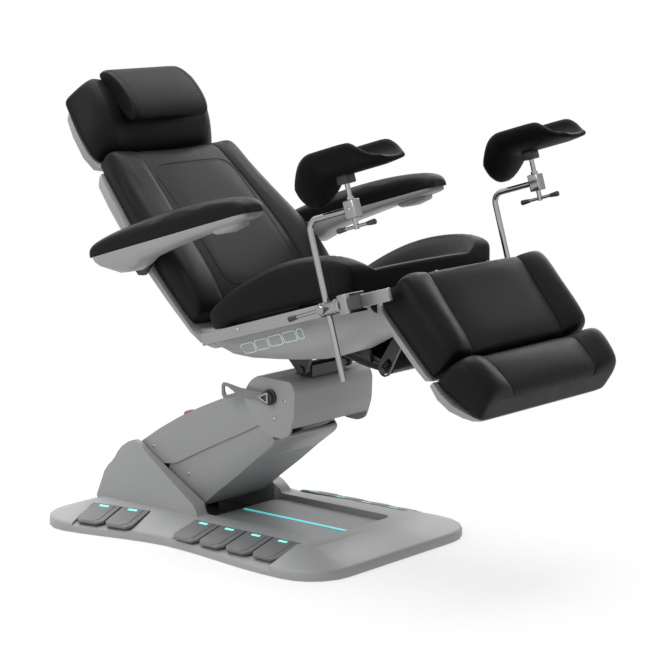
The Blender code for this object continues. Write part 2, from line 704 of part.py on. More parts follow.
# Seat frame: a plate between pan and cushion, with every bracket that hangs on it
seat_axis = frame("seat_tilt_axis", head, TILT_Y, TILT_Z, -SEAT_ANGLE)
seat = frame("seat_datum", seat_axis, DATUM_V, DATUM_W)
RAIL_INNER = RAIL_OUTER - RAIL_THICK
TAB_REACH = RAIL_INNER - GAP
TAB_SPOTS = (-0.545, -0.330, -0.070)
TAB_HALF = 0.020
PLATE_FRONT = -0.575
PLATE_REAR = -0.020
WINDOW_INNER = 0.130
WINDOW_OUTER = 0.255
WINDOW_FRONT = -0.515
WINDOW_REAR = -0.062
WINDOWS = [[(s * WINDOW_INNER, WINDOW_FRONT), (s * WINDOW_OUTER, WINDOW_FRONT),
            (s * WINDOW_OUTER, WINDOW_REAR), (s * WINDOW_INNER, WINDOW_REAR)] for s in (-1, 1)]
PLATE_OUTLINE = [(-PLATE_HALF, PLATE_FRONT), (PLATE_HALF, PLATE_FRONT), (PLATE_HALF, PLATE_REAR),
                 (-PLATE_HALF, PLATE_REAR)]
seat_frame = plate("seat_frame", PLATE_OUTLINE, PLATE_LOW, PLATE_HIGH, seat, STEEL, WINDOWS)
LEVER_GAP_HALF = 0.095
LEVER_GAP_REAR = -0.340
cut(seat_frame, box("lever_gap", (-LEVER_GAP_HALF, PLATE_FRONT - OVERCUT, -ABOVE),
                    (LEVER_GAP_HALF, LEVER_GAP_REAR, ABOVE), seat))
TILT_SPOT = (-DATUM_V, -DATUM_W)
TILT_EYE = PIN_RADIUS + 0.004
IN_PLATE = PLATE_LOW + 2 * ROOT
BRACKET_OUTLINE = ([(-0.165, -0.070), (-0.185, IN_PLATE), (-0.030, IN_PLATE), (-0.055, -0.060)]
                   + arc(TILT_SPOT, TILT_EYE, 0, -150, 4))
GUIDE_OUTLINE = [(-0.335, IN_PLATE), (-0.285, IN_PLATE), (-0.280, -0.096), (-0.325, -0.138)]
GUIDE_INNER = PUSH_HALF + GAP
GUIDE_THICK = 0.010
BACK_EAR_OUTLINE = [(-0.080, PLATE_LOW + 0.002), (-0.080, PLATE_HIGH - 0.002),
                    (BACK_V, BACK_W + BACK_EAR_RADIUS), (BACK_V + 0.012, BACK_W + 0.012),
                    (BACK_V + BACK_EAR_RADIUS, BACK_W), (BACK_V + 0.012, BACK_W - 0.012),
                    (BACK_V, BACK_W - BACK_EAR_RADIUS), (-0.010, BACK_W - BACK_EAR_RADIUS)]
LEG_EAR_EYE = 0.0125
LEG_EAR_OUTLINE = ([(-0.585, PLATE_LOW - 0.004), (-0.552, PLATE_LOW - 0.004), (-0.552, PLATE_HIGH - 0.002),
                    (-0.602, SEAT_BOTTOM - 0.006)]
                   + arc((LEG_V, LEG_W), LEG_EAR_EYE, 25, 235, 5))
for side in (-1, 1):
    for k, v in enumerate(TAB_SPOTS):
        join(seat_frame, box(f"rail_tab_{side}_{k}",
                             (side * (PLATE_HALF - OVERCUT), v - TAB_HALF, PLATE_LOW + ROOT),
                             (side * TAB_REACH, v + TAB_HALF, RAIL_HEIGHT - 2 * ROOT), seat))
    join(seat_frame,
         slab(f"tilt_bracket_{side}", BRACKET_OUTLINE, side * BRACKET_INNER,
              side * (BRACKET_INNER + BRACKET_THICK), seat),
         slab(f"rod_guide_{side}", GUIDE_OUTLINE, side * GUIDE_INNER, side * (GUIDE_INNER + GUIDE_THICK), seat),
         slab(f"back_ear_{side}", BACK_EAR_OUTLINE, side * BACK_EAR_INNER,
              side * (BACK_EAR_INNER + BACK_EAR_THICK), seat),
         slab(f"leg_ear_{side}", LEG_EAR_OUTLINE, side * LEG_EAR_INNER,
              side * (LEG_EAR_INNER + LEG_EAR_THICK), seat))
cut(seat_frame,
    rod("tilt_bore", (-BEYOND, *TILT_SPOT), (BEYOND, *TILT_SPOT), hole(PIN_RADIUS), seat),
    rod("leg_bore", (-BEYOND, LEG_V, LEG_W), (BEYOND, LEG_V, LEG_W), hole(LEG_SHAFT), seat))
BACK_PIN_HALF = 0.262
join(seat_frame, rod("back_shaft", (-BACK_PIN_HALF, BACK_V, BACK_W), (BACK_PIN_HALF, BACK_V, BACK_W),
                     BACK_PIN, seat))

# Seat pan: a boat-shaped shell under the frame
PAN_RIM = PLATE_LOW - GAP
PAN_STATIONS = [(0.002, -0.018), (-0.026, -0.046), (-0.090, -0.072), (-0.175, -0.094), (-0.261, -0.106),
                (-0.368, -0.102), (-0.460, -0.083), (-0.520, -0.062), (-0.552, -0.034)]


def pan_section(v, low):
    """Half of a hull section, from the rim down to the keel."""
    depth = PAN_RIM - low
    shape = [(1.000, 0.00), (0.995, 0.25), (0.965, 0.55), (0.88, 0.83), (0.55, 0.985), (0.0, 1.0)]
    half = [(share * PAN_HALF, v, PAN_RIM - drop * depth) for share, drop in shape]
    return half + [(-x, y, z) for x, y, z in reversed(half[:-1])]


def open_skin(name, rows, thickness, parent, look, side_in=-1.0):
    """An open sheet through rows of points, thickened to a shell."""
    shape = bmesh.new()
    grid = [[shape.verts.new(point) for point in row] for row in rows]
    for first, second in zip(grid, grid[1:]):
        for i in range(len(first) - 1):
            shape.faces.new((first[i], first[i + 1], second[i + 1], second[i]))
    mesh = bpy.data.meshes.new(name)
    shape.to_mesh(mesh)
    shape.free()
    mesh.shade_smooth()
    item = place(name, mesh, parent, look)
    wall = item.modifiers.new("wall", "SOLIDIFY")
    wall.thickness = thickness
    wall.offset = side_in
    return item


seat_pan = open_skin("seat_pan", [pan_section(v, low) for v, low in PAN_STATIONS], PAN_WALL, seat,
                     SHELL_GREY, 1.0)
OPENING_TOP = PAN_RIM - PAN_WALL
LEVER_OPENING_HALF = 0.100
LEVER_OPENING_REAR = -0.200
BRACKET_OPENING_HALF = 0.118
BRACKET_OPENING_FRONT = -0.172
BRACKET_OPENING_REAR = -0.030
cut(seat_pan,
    box("lever_opening", (-LEVER_OPENING_HALF, -RAIL_LENGTH, -BEYOND),
        (LEVER_OPENING_HALF, LEVER_OPENING_REAR, OPENING_TOP), seat),
    box("bracket_opening", (-BRACKET_OPENING_HALF, BRACKET_OPENING_FRONT, -BEYOND),
        (BRACKET_OPENING_HALF, BRACKET_OPENING_REAR, OPENING_TOP), seat))

# Accessory rails on the frame's tabs
for side, word in ((-1, "right"), (1, "left")):
    rail = box(f"rail_{word}", (side * RAIL_INNER, -RAIL_LENGTH, 0.0), (side * RAIL_OUTER, 0.0, RAIL_HEIGHT),
               seat, ALUMINIUM)
    bevel(rail, RAIL_EDGE, 1)


# Upholstery: each cushion is a loft of crowned sections with drawn-in sides
def pad_section(v, half, low, centre, ridge, shares, lean=0.0, lean_from=None, x_middle=0.0, bow=0.0):
    """A closed section: flat below, tucked sides, then the crown from (share, lift, dip) stops.

    A leaning section runs forward or back as it rises, from its bottom or from lean_from.
    A bowed section is moved along by bow in its middle and not at its sides.
    """
    def top(lift, dip):
        return blend(centre, ridge, lift) - dip

    shoulder = top(*shares[0][1:])
    tall = shoulder - low
    right = [(half * 0.90, low), (half * 0.965, low), (half * 0.985, low + tall * 0.25),
             (half * 0.988, low + tall * 0.62)]
    right += [(half * share, top(lift, dip)) for share, lift, dip in shares]
    left = [(-x, w) for x, w in reversed(right) if x > 0]
    upright = low if lean_from is None else lean_from
    return [(x_middle + x, v + lean * max(w - upright, 0.0) + bow * (1 - (x / half) ** 2), w)
            for x, w in right + left]


SEAT_SHARES = [(1.00, 0.70, 0.0), (0.95, 0.95, 0.0), (0.86, 1.0, 0.0), (0.78, 0.80, 0.0), (0.70, 0.30, 0.0),
               (0.66, 0.05, 0.004), (0.58, 0.0, 0.0), (0.0, 0.0, -0.002)]
SEAT_STATIONS = [(-0.505, 0.290, 0.086, 0.092, -0.24), (-0.503, 0.306, 0.098, 0.116, -0.24),
                 (-0.470, 0.313, 0.096, 0.146, -0.10), (-0.380, 0.314, 0.088, 0.166, 0.0),
                 (-0.260, 0.314, 0.082, 0.168, 0.0), (-0.130, 0.314, 0.078, 0.142, 0.0),
                 (-0.035, 0.310, 0.076, 0.108, 0.0), (-0.006, 0.306, 0.068, 0.088, 0.0),
                 (0.004, 0.292, 0.056, 0.062, 0.0)]
loft("seat_cushion", [pad_section(v, half, SEAT_BOTTOM, centre, ridge, SEAT_SHARES, lean)
                      for v, half, centre, ridge, lean in SEAT_STATIONS], seat, UPHOLSTERY, 1)

# Back: shell with a hinge barrel, cushion with an inlaid centre panel
back = frame("back_hinge_axis", seat, BACK_V, BACK_W, BACK_ANGLE + SEAT_ANGLE)
BACK_SHELL_STATIONS = [(0.031, 0.292, -0.034, -0.040), (0.093, 0.300, -0.040, -0.060),
                       (0.279, 0.303, -0.046, -0.080), (0.465, 0.299, -0.052, -0.088),
                       (0.651, 0.286, -0.058, -0.086), (0.806, 0.272, -0.060, -0.080),
                       (0.918, 0.260, -0.058, -0.070), (0.950, 0.248, -0.046, -0.050)]


def dish_section(v, half, edge, low, seam, x_middle=0.0):
    """A closed shell section: flat on the cushion side, rounded behind."""
    right = [(half, seam), (half * 0.995, blend(seam, edge, 0.6)), (half * 0.955, edge),
             (half * 0.85, blend(edge, low, 0.55)), (half * 0.5, low)]
    left = [(-x, w) for x, w in reversed(right)]
    return [(x_middle + x, v, w) for x, w in right + left]


back_shell = loft("back_shell", [dish_section(share * BACK_LENGTH, half, edge, low, BACK_SEAM - GAP)
                                 for share, half, edge, low in BACK_SHELL_STATIONS], back, SHELL_GREY)
BARREL_OUTLINE = round_corners([(-0.018, -0.012), (-0.010, 0.014), (0.008, 0.018), (0.022, 0.010),
                                (0.060, BACK_SEAM - GAP), (0.070, -0.038), (0.020, -0.040),
                                (-0.004, -0.026)], BARREL_ROUND)
BARREL_HALF = BACK_PIN_HALF + PIN_PROUD
join(back_shell, slab("hinge_barrel", BARREL_OUTLINE, -BARREL_HALF, BARREL_HALF, back))
cut(back_shell, rod("back_bore", (-BARREL_HALF - OVERCUT, 0, 0), (BARREL_HALF + OVERCUT, 0, 0),
                    hole(BACK_PIN), back))
SLOT = BACK_EAR_RADIUS + PIN_PROUD
for side in (-1, 1):
    cut(back_shell, box(f"ear_slot_{side}", (side * (BACK_EAR_INNER - BACK_SLOT_GAP), -ABOVE, -SLOT),
                        (side * (BACK_EAR_INNER + BACK_EAR_THICK + BACK_SLOT_GAP), SLOT, ABOVE), back))
for side in (-1, 1):
    stay_x = side * STAY_X
    cut(back_shell, rod(f"stay_bore_{side}", (stay_x, HEADREST_V - STAY_LENGTH - OVERCUT, HEADREST_W),
                        (stay_x, HEADREST_V + BEYOND, HEADREST_W), hole(STAY_RADIUS), back))

BACK_SHARES = [(1.00, 1.0, 0.020), (0.975, 1.0, 0.004), (0.90, 1.0, 0.0), (0.77, 0.75, 0.0),
               (0.66, 0.45, 0.0), (0.635, 0.30, 0.006), (0.58, 0.20, 0.0), (0.0, 0.0, 0.0)]
BACK_STATIONS = [(0.115, 0.286, 0.012, 0.016, 0.0), (0.130, 0.298, 0.034, 0.042, 0.0),
                 (0.217, 0.302, 0.052, 0.072, 0.0), (0.388, 0.300, 0.061, 0.082, 0.0),
                 (0.574, 0.290, 0.068, 0.074, 0.0), (0.760, 0.272, 0.071, 0.064, 0.0),
                 (0.936, 0.255, 0.068, 0.062, -0.016), (0.986, 0.249, 0.058, 0.056, -0.022),
                 (1.000, 0.240, 0.034, 0.034, -0.022)]
loft("back_cushion", [pad_section(share * BACK_LENGTH, half, BACK_SEAM, centre, ridge, BACK_SHARES, bow=bow)
                      for share, half, centre, ridge, bow in BACK_STATIONS], back, UPHOLSTERY, 1)

# Headrest on two stays that slide in the back shell
headrest_bracket = rod("headrest_bracket", (-HEADREST_LUG_INNER - HEADREST_LUG_THICK, HEADREST_V, HEADREST_W),
                       (HEADREST_LUG_INNER + HEADREST_LUG_THICK, HEADREST_V, HEADREST_W), HEADREST_TUBE,
                       back, STEEL)
for side in (-1, 1):
    stay_x = side * STAY_X
    join(headrest_bracket, rod(f"stay_{side}", (stay_x, HEADREST_V - STAY_LENGTH, HEADREST_W),
                               (stay_x, HEADREST_V, HEADREST_W), STAY_RADIUS, back))
headrest = frame("headrest_axis", back, HEADREST_V, HEADREST_W, HEADREST_TURN)
HEAD_SEAM = 0.012
HEAD_SHELL_STATIONS = [(0.002, 0.226, 0.000, -0.004), (0.014, 0.242, -0.012, -0.016),
                       (0.060, 0.252, -0.020, -0.030), (0.130, 0.252, -0.020, -0.034),
                       (0.178, 0.247, -0.016, -0.026), (0.196, 0.238, -0.002, -0.008)]
headrest_shell = loft("headrest_shell", [dish_section(v, half, edge, low, HEAD_SEAM - GAP)
                                         for v, half, edge, low in HEAD_SHELL_STATIONS], headrest, SHELL_GREY)
LUG_OUTLINE = stadium((0, 0), (0.03, -0.006), HEAD_SEAM - 2 * GAP)
for side in (-1, 1):
    join(headrest_shell, slab(f"headrest_lug_{side}", LUG_OUTLINE, side * HEADREST_LUG_INNER,
                              side * (HEADREST_LUG_INNER + HEADREST_LUG_THICK), headrest))
cut(headrest_shell,
    box("bracket_room", (-HEADREST_LUG_INNER + GAP, -ABOVE, -ABOVE),
        (HEADREST_LUG_INNER - GAP, BRACKET_ROOM, HEAD_SEAM - HEADREST_SKIN), headrest),
    rod("headrest_bore", (-BEYOND, 0, 0), (BEYOND, 0, 0), hole(HEADREST_TUBE), headrest))

HEAD_SHARES = [(0.96, 0.60, 0.0), (0.91, 0.88, 0.0), (0.80, 1.0, 0.0), (0.70, 0.75, 0.0), (0.61, 0.25, 0.0),
               (0.57, 0.10, 0.003), (0.50, 0.0, 0.0), (0.0, 0.0, 0.0)]
HEAD_STATIONS = [(0.013, 0.222, 0.062, 0.050, 0.42), (0.020, 0.240, 0.090, 0.070, 0.42),
                 (0.056, 0.254, 0.110, 0.090, 0.38), (0.110, 0.258, 0.111, 0.100, 0.16),
                 (0.164, 0.258, 0.104, 0.108, 0.14), (0.198, 0.256, 0.096, 0.118, 0.28),
                 (0.207, 0.247, 0.082, 0.104, 0.29)]
loft("headrest_cushion", [pad_section(v, half, HEAD_SEAM, centre, ridge, HEAD_SHARES, lean)
                          for v, half, centre, ridge, lean in HEAD_STATIONS], headrest, UPHOLSTERY, 1)

# Neck pillow: a half-round bolster across the headrest
PILLOW_HALF = 0.150
PILLOW_V = 0.174
PILLOW_SEAT = 0.1046
PILLOW_SPAN = 0.097
PILLOW_CROWN = 0.064
PILLOW_SLOPE = 0.19
PILLOW_RIM = 0.012
PILLOW_STEPS = 10
PILLOW_FULLNESS = 0.8


def pillow_ring(x, share):
    """A half-round section across the pillow, smaller towards its ends."""
    span = PILLOW_SPAN * share
    turns = [math.pi * k / PILLOW_STEPS for k in range(PILLOW_STEPS + 1)]
    ring = [(-span * math.cos(turn), PILLOW_RIM + PILLOW_CROWN * share * abs(math.sin(turn)) ** PILLOW_FULLNESS)
            for turn in turns]
    ring += [(span * 0.9, 0.0), (-span * 0.9, 0.0)]
    return [(x, PILLOW_V + along, PILLOW_SEAT + rise - PILLOW_SLOPE * along) for along, rise in ring]


loft("headrest_pillow", [pillow_ring(PILLOW_HALF * x, share) for x, share in
                         ((-1.0, 0.90), (-0.96, 1.0), (0.0, 1.0), (0.96, 1.0), (1.0, 0.90))],
     headrest, UPHOLSTERY, 1)

# Armrests on brackets at the sides of the back
ARM_SHELL_STATIONS = [(-0.486, 0.60, 0.020), (-0.478, 0.84, 0.015), (-0.452, 0.97, 0.012),
                      (-0.300, 1.0, 0.006), (-0.170, 1.0, -0.004), (-0.090, 1.0, -0.014),
                      (-0.062, 1.0, -0.028), (-0.024, 1.0, -0.036), (0.012, 1.0, -0.032),
                      (0.070, 1.0, -0.004), (0.086, 0.92, 0.010), (0.096, 0.75, 0.020)]
ARM_PAD_SHARES = [(1.00, 0.0, 0.018), (0.95, 0.0, 0.006), (0.70, 1.0, 0.0), (0.35, 1.0, -0.003),
                  (0.0, 1.0, -0.004)]
ARM_PAD_STATIONS = [(-0.496, 0.66, 0.044), (-0.488, 0.90, 0.058), (-0.462, 1.02, 0.070),
                    (-0.400, 1.04, 0.080), (-0.310, 1.04, 0.087), (-0.200, 1.03, 0.088),
                    (-0.045, 1.02, 0.081), (0.060, 1.02, 0.070), (0.098, 0.95, 0.058),
                    (0.108, 0.72, 0.046)]
PADDLE_STATIONS = [(-0.452, 0.30, 0.010), (-0.440, 0.58, -0.001), (-0.398, 0.72, -0.007),
                   (-0.356, 0.62, -0.004), (-0.336, 0.30, 0.008)]
PADDLE_TOP = 0.018
ARM_PIN_REACH = 0.020
BOSS_END = ARM_X - ARM_HALF_WIDTH - GAP
for side, word in ((-1, "right"), (1, "left")):
    middle = side * ARM_X
    arm_axis = frame(f"arm_axis_{word}", back, ARM_V, 0.0, -BACK_ANGLE - SEAT_ANGLE)
    outer_bracket = ARM_BRACKET_INNER + ARM_BRACKET_THICK
    bracket = slab(f"arm_bracket_{word}", round_corners([
        (ARM_V - 0.030, -0.060), (ARM_V + 0.034, -0.060), (ARM_V + 0.024, 0.016),
        (ARM_V - 0.024, 0.018)], ARM_BRACKET_ROUND),
        side * ARM_BRACKET_INNER, side * outer_bracket, back, BLACK)
    root = (side * (outer_bracket - ROOT), ARM_V, 0)
    join(bracket, rod(f"arm_boss_{word}", root, (side * BOSS_END, ARM_V, 0), ARM_BOSS, back, None, 20),
         rod(f"arm_pin_{word}", root, (side * (ARM_X + ARM_PIN_REACH), ARM_V, 0), ARM_PIN, back))
    shell_rings = [dish_section(v, ARM_HALF_WIDTH * share, blend(ARM_SEAM, low, 0.75), low,
                                ARM_SEAM - GAP, middle) for v, share, low in ARM_SHELL_STATIONS]
    paddle_rings = [dish_section(v, ARM_HALF_WIDTH * share, blend(PADDLE_TOP, low, 0.7), low,
                                 PADDLE_TOP, middle) for v, share, low in PADDLE_STATIONS]
    pad_rings = [pad_section(v, ARM_HALF_WIDTH * share, ARM_SEAM, top, top, ARM_PAD_SHARES, x_middle=middle)
                 for v, share, top in ARM_PAD_STATIONS]
    shell = loft(f"arm_shell_{word}", shell_rings, arm_axis, SHELL_GREY)
    join(shell, loft(f"arm_paddle_{word}", paddle_rings, arm_axis))
    bore_end = side * (ARM_X + ARM_PIN_REACH + GAP)
    cut(shell, rod(f"arm_bore_{word}", (side * (ARM_X - ABOVE), 0, 0), (bore_end, 0, 0),
                   hole(ARM_PIN), arm_axis))
    loft(f"arm_pad_{word}", pad_rings, arm_axis, UPHOLSTERY)

# Leg rest: shaft with two slotted levers, shell, cushion
leg = frame("leg_hinge_axis", seat, LEG_V, LEG_W, LEG_ANGLE + SEAT_ANGLE)
LEG_SHAFT_HALF = LEG_EAR_INNER + LEG_EAR_THICK + PIN_PROUD
leg_frame = rod("leg_frame", (-LEG_SHAFT_HALF, 0, 0), (LEG_SHAFT_HALF, 0, 0), LEG_SHAFT, leg, STEEL)
turn_down = math.radians(-LEG_ANGLE - SEAT_ANGLE)
PIN_V = PUSH_V * math.cos(turn_down) - PUSH_W * math.sin(turn_down)
PIN_W = PUSH_V * math.sin(turn_down) + PUSH_W * math.cos(turn_down)
reach = math.hypot(PIN_V, PIN_W)
inner_share = (reach - PUSH_SLOT) / reach
LEVER_SIDE = round_corners([(-0.008, 0.009), (0.008, 0.009), (0.007, -0.045), (0.014, -0.100),
                            (PIN_V + 0.024, PIN_W - 0.004), (PIN_V + 0.004, PIN_W - 0.020),
                            (PIN_V - 0.020, PIN_W - 0.006), (-0.0090, -0.104), (-0.0085, -0.060)], PLATE_ROUND)
SLOT_SIDE = stadium((PIN_V * inner_share, PIN_W * inner_share), (PIN_V, PIN_W), PUSH_PIN + PUSH_PIN_ROOM)
for side in (-1, 1):
    join(leg_frame, slab(f"leg_lever_{side}", LEVER_SIDE, side * LEVER_PLATE_INNER,
                         side * (LEVER_PLATE_INNER + LEVER_PLATE_THICK), leg, None, [SLOT_SIDE]))
join(leg_frame, box("lever_plate", (-LEVER_PLATE_HALF, LEG_START + GAP, LEVER_PLATE_LOW),
                    (LEVER_PLATE_HALF, LEVER_PLATE_REAR, LEVER_PLATE_HIGH), leg))

LEG_SHELL_STATIONS = [(LEG_START, 0.294, -0.082, -0.086), (-0.030, 0.304, -0.089, -0.096),
                      (-0.110, 0.306, -0.091, -0.100), (-0.200, 0.306, -0.091, -0.100),
                      (-0.244, 0.305, -0.088, -0.096), (LEG_END, 0.297, -0.074, -0.080)]
leg_shell = loft("leg_shell", [dish_section(v, half, edge, low, LEG_SEAM - GAP)
                               for v, half, edge, low in LEG_SHELL_STATIONS], leg, SHELL_GREY)
LEG_SHARES = [(1.00, 0.10, 0.018), (0.965, 0.70, 0.004), (0.87, 1.0, 0.0), (0.76, 0.65, 0.0),
              (0.66, 0.15, 0.0), (0.64, 0.0, 0.004), (0.59, 0.05, 0.0), (0.0, 0.0, -0.003)]
LEG_STATIONS = [(-0.0150, 0.292, 0.018, 0.022, 0.34), (-0.0155, 0.302, 0.042, 0.050, 0.34),
                (-0.034, 0.307, 0.048, 0.062, 0.10), (-0.100, 0.307, 0.036, 0.062, 0.0),
                (-0.224, 0.307, 0.028, 0.058, 0.0), (-0.250, 0.304, 0.016, 0.044, 0.0),
                (-0.256, 0.294, -0.008, 0.004, 0.0)]
loft("leg_cushion", [pad_section(v, half, LEG_SEAM, centre, ridge, LEG_SHARES, lean, LEG_EAR_EYE)
                     for v, half, centre, ridge, lean in LEG_STATIONS], leg, UPHOLSTERY, 1)

# Push rod: slides on the chord of the lever pin's arc, in the guides of the seat frame
swing = math.radians(-PUSH_TRAVEL_ANGLE)
END_V = PUSH_V * math.cos(swing) - PUSH_W * math.sin(swing)
END_W = PUSH_V * math.sin(swing) + PUSH_W * math.cos(swing)
chord = math.degrees(math.atan2(PUSH_W - END_W, PUSH_V - END_V))
push = frame("push_rod_axis", seat, LEG_V + PUSH_V, LEG_W + PUSH_W, chord)
PUSH_OUTLINE = round_corners([(-0.014, -0.010), (-0.014, 0.010), (0.050, 0.020), (PUSH_LENGTH, 0.018),
                              (PUSH_LENGTH, -0.014), (0.080, -0.018)], PLATE_ROUND)
leg_push_rod = slab("leg_push_rod", PUSH_OUTLINE, -PUSH_HALF, PUSH_HALF, push, BLACK)
PUSH_PIN_HALF = LEVER_PLATE_INNER + LEVER_PLATE_THICK + PIN_PROUD
join(leg_push_rod, rod("push_pin", (-PUSH_PIN_HALF, 0, 0), (PUSH_PIN_HALF, 0, 0), PUSH_PIN, push))

# Foot section on two guide rods
FOOT_SEAM = -0.064
FOOT_TIP_RISE = 0.028
FOOT_RISE_FROM = -0.310
FOOT_TIP_ROOM = 0.0030


def foot_seam(v, room=0.0):
    """Height of the line between foot shell and cushion, which rises to the tip."""
    share = (FOOT_RISE_FROM - v) / (FOOT_RISE_FROM - FOOT_END)
    return FOOT_SEAM + (FOOT_TIP_RISE - room) * smooth_step(share)


FOOT_SHELL_STATIONS = [(FOOT_START, 0.302, -0.088, -0.094), (-0.300, 0.304, -0.092, -0.100),
                       (-0.340, 0.299, -0.086, -0.094), (-0.374, 0.288, -0.072, -0.078),
                       (-0.396, 0.276, -0.060, -0.062), (-0.408, 0.262, -0.048, -0.049)]
foot_shell = loft("foot_shell", [dish_section(v, half, edge, low, foot_seam(v, FOOT_TIP_ROOM) - GAP)
                                 for v, half, edge, low in FOOT_SHELL_STATIONS], leg, SHELL_GREY)
FOOT_STATIONS = [(FOOT_START, 0.292, 0.006, 0.016, 0.0), (-0.268, 0.303, 0.030, 0.050, 0.0),
                 (-0.292, 0.306, 0.042, 0.068, 0.0), (-0.386, 0.293, 0.047, 0.064, 0.16),
                 (-0.408, 0.286, 0.040, 0.052, 0.26), (-0.414, 0.276, 0.020, 0.026, 0.28)]
loft("foot_cushion", [pad_section(v, half, foot_seam(v), centre, ridge, LEG_SHARES, lean)
                      for v, half, centre, ridge, lean in FOOT_STATIONS], leg, UPHOLSTERY, 1)
ROD_BACK = -0.050
ROD_FRONT = -0.330
ROD_BEND = 0.012
ROD_STOP = 0.020
half_slide = [(FOOT_ROD_X - ROD_BEND, ROD_BACK, FOOT_ROD_W), (FOOT_ROD_X, ROD_BACK - ROD_BEND, FOOT_ROD_W),
              (FOOT_ROD_X, ROD_FRONT, FOOT_ROD_W)]
foot_slide = tube("foot_slide", [(-x, v, w) for x, v, w in reversed(half_slide)] + half_slide,
                  FOOT_ROD_RADIUS, leg, STEEL)
ROOM = hole(FOOT_ROD_RADIUS)
cut(leg_shell, box("slide_room", (-FOOT_ROD_X - ROOM, LEG_END + ROD_STOP, FOOT_ROD_W - ROOM),
                   (FOOT_ROD_X + ROOM, ROD_BACK + ROOM, 0.0), leg))
for side in (-1, 1):
    x = side * FOOT_ROD_X
    cut(leg_shell, rod(f"leg_rod_bore_{side}", (x, LEG_END - ROD_STOP, FOOT_ROD_W),
                       (x, ROD_BACK - ROD_STOP, FOOT_ROD_W), ROOM, leg))
    cut(foot_shell, rod(f"foot_rod_bore_{side}", (x, ROD_FRONT - GAP, FOOT_ROD_W),
                        (x, FOOT_START + ROD_STOP, FOOT_ROD_W), ROOM, leg))

# Stirrups: clamp and lever on the rail, bent post, block, tee screw and knee pad
RAIL_MIDDLE = RAIL_HEIGHT / 2


def pad_rows(x_middle):
    """The knee pad's sheet: a trough with high sides that turns down at the knee end."""
    rows = []
    for i in range(6):
        t = i / 5
        v = PAD_FRONT - STEM_V + PAD_LENGTH * t
        floor = PAD_FLOOR + 0.010 * smooth_step(1 - t / 0.20) - 0.046 * smooth_step((t - 0.55) / 0.45)
        rise = blend(0.042, 0.078, smooth_step((t - 0.05) / 0.35)) + 0.008 * smooth_step((t - 0.7) / 0.3)
        width = PAD_HALF * (0.80 + 0.20 * smooth_step(t / 0.2)) * (1 - 0.10 * smooth_step((t - 0.8) / 0.2))
        row = []
        for k in range(7):
            s = -1 + k / 3
            row.append((x_middle + width * math.sin(s * math.pi / 2) * 0.98, v, floor + rise * abs(s) ** 2.2))
        rows.append(row)
    return rows


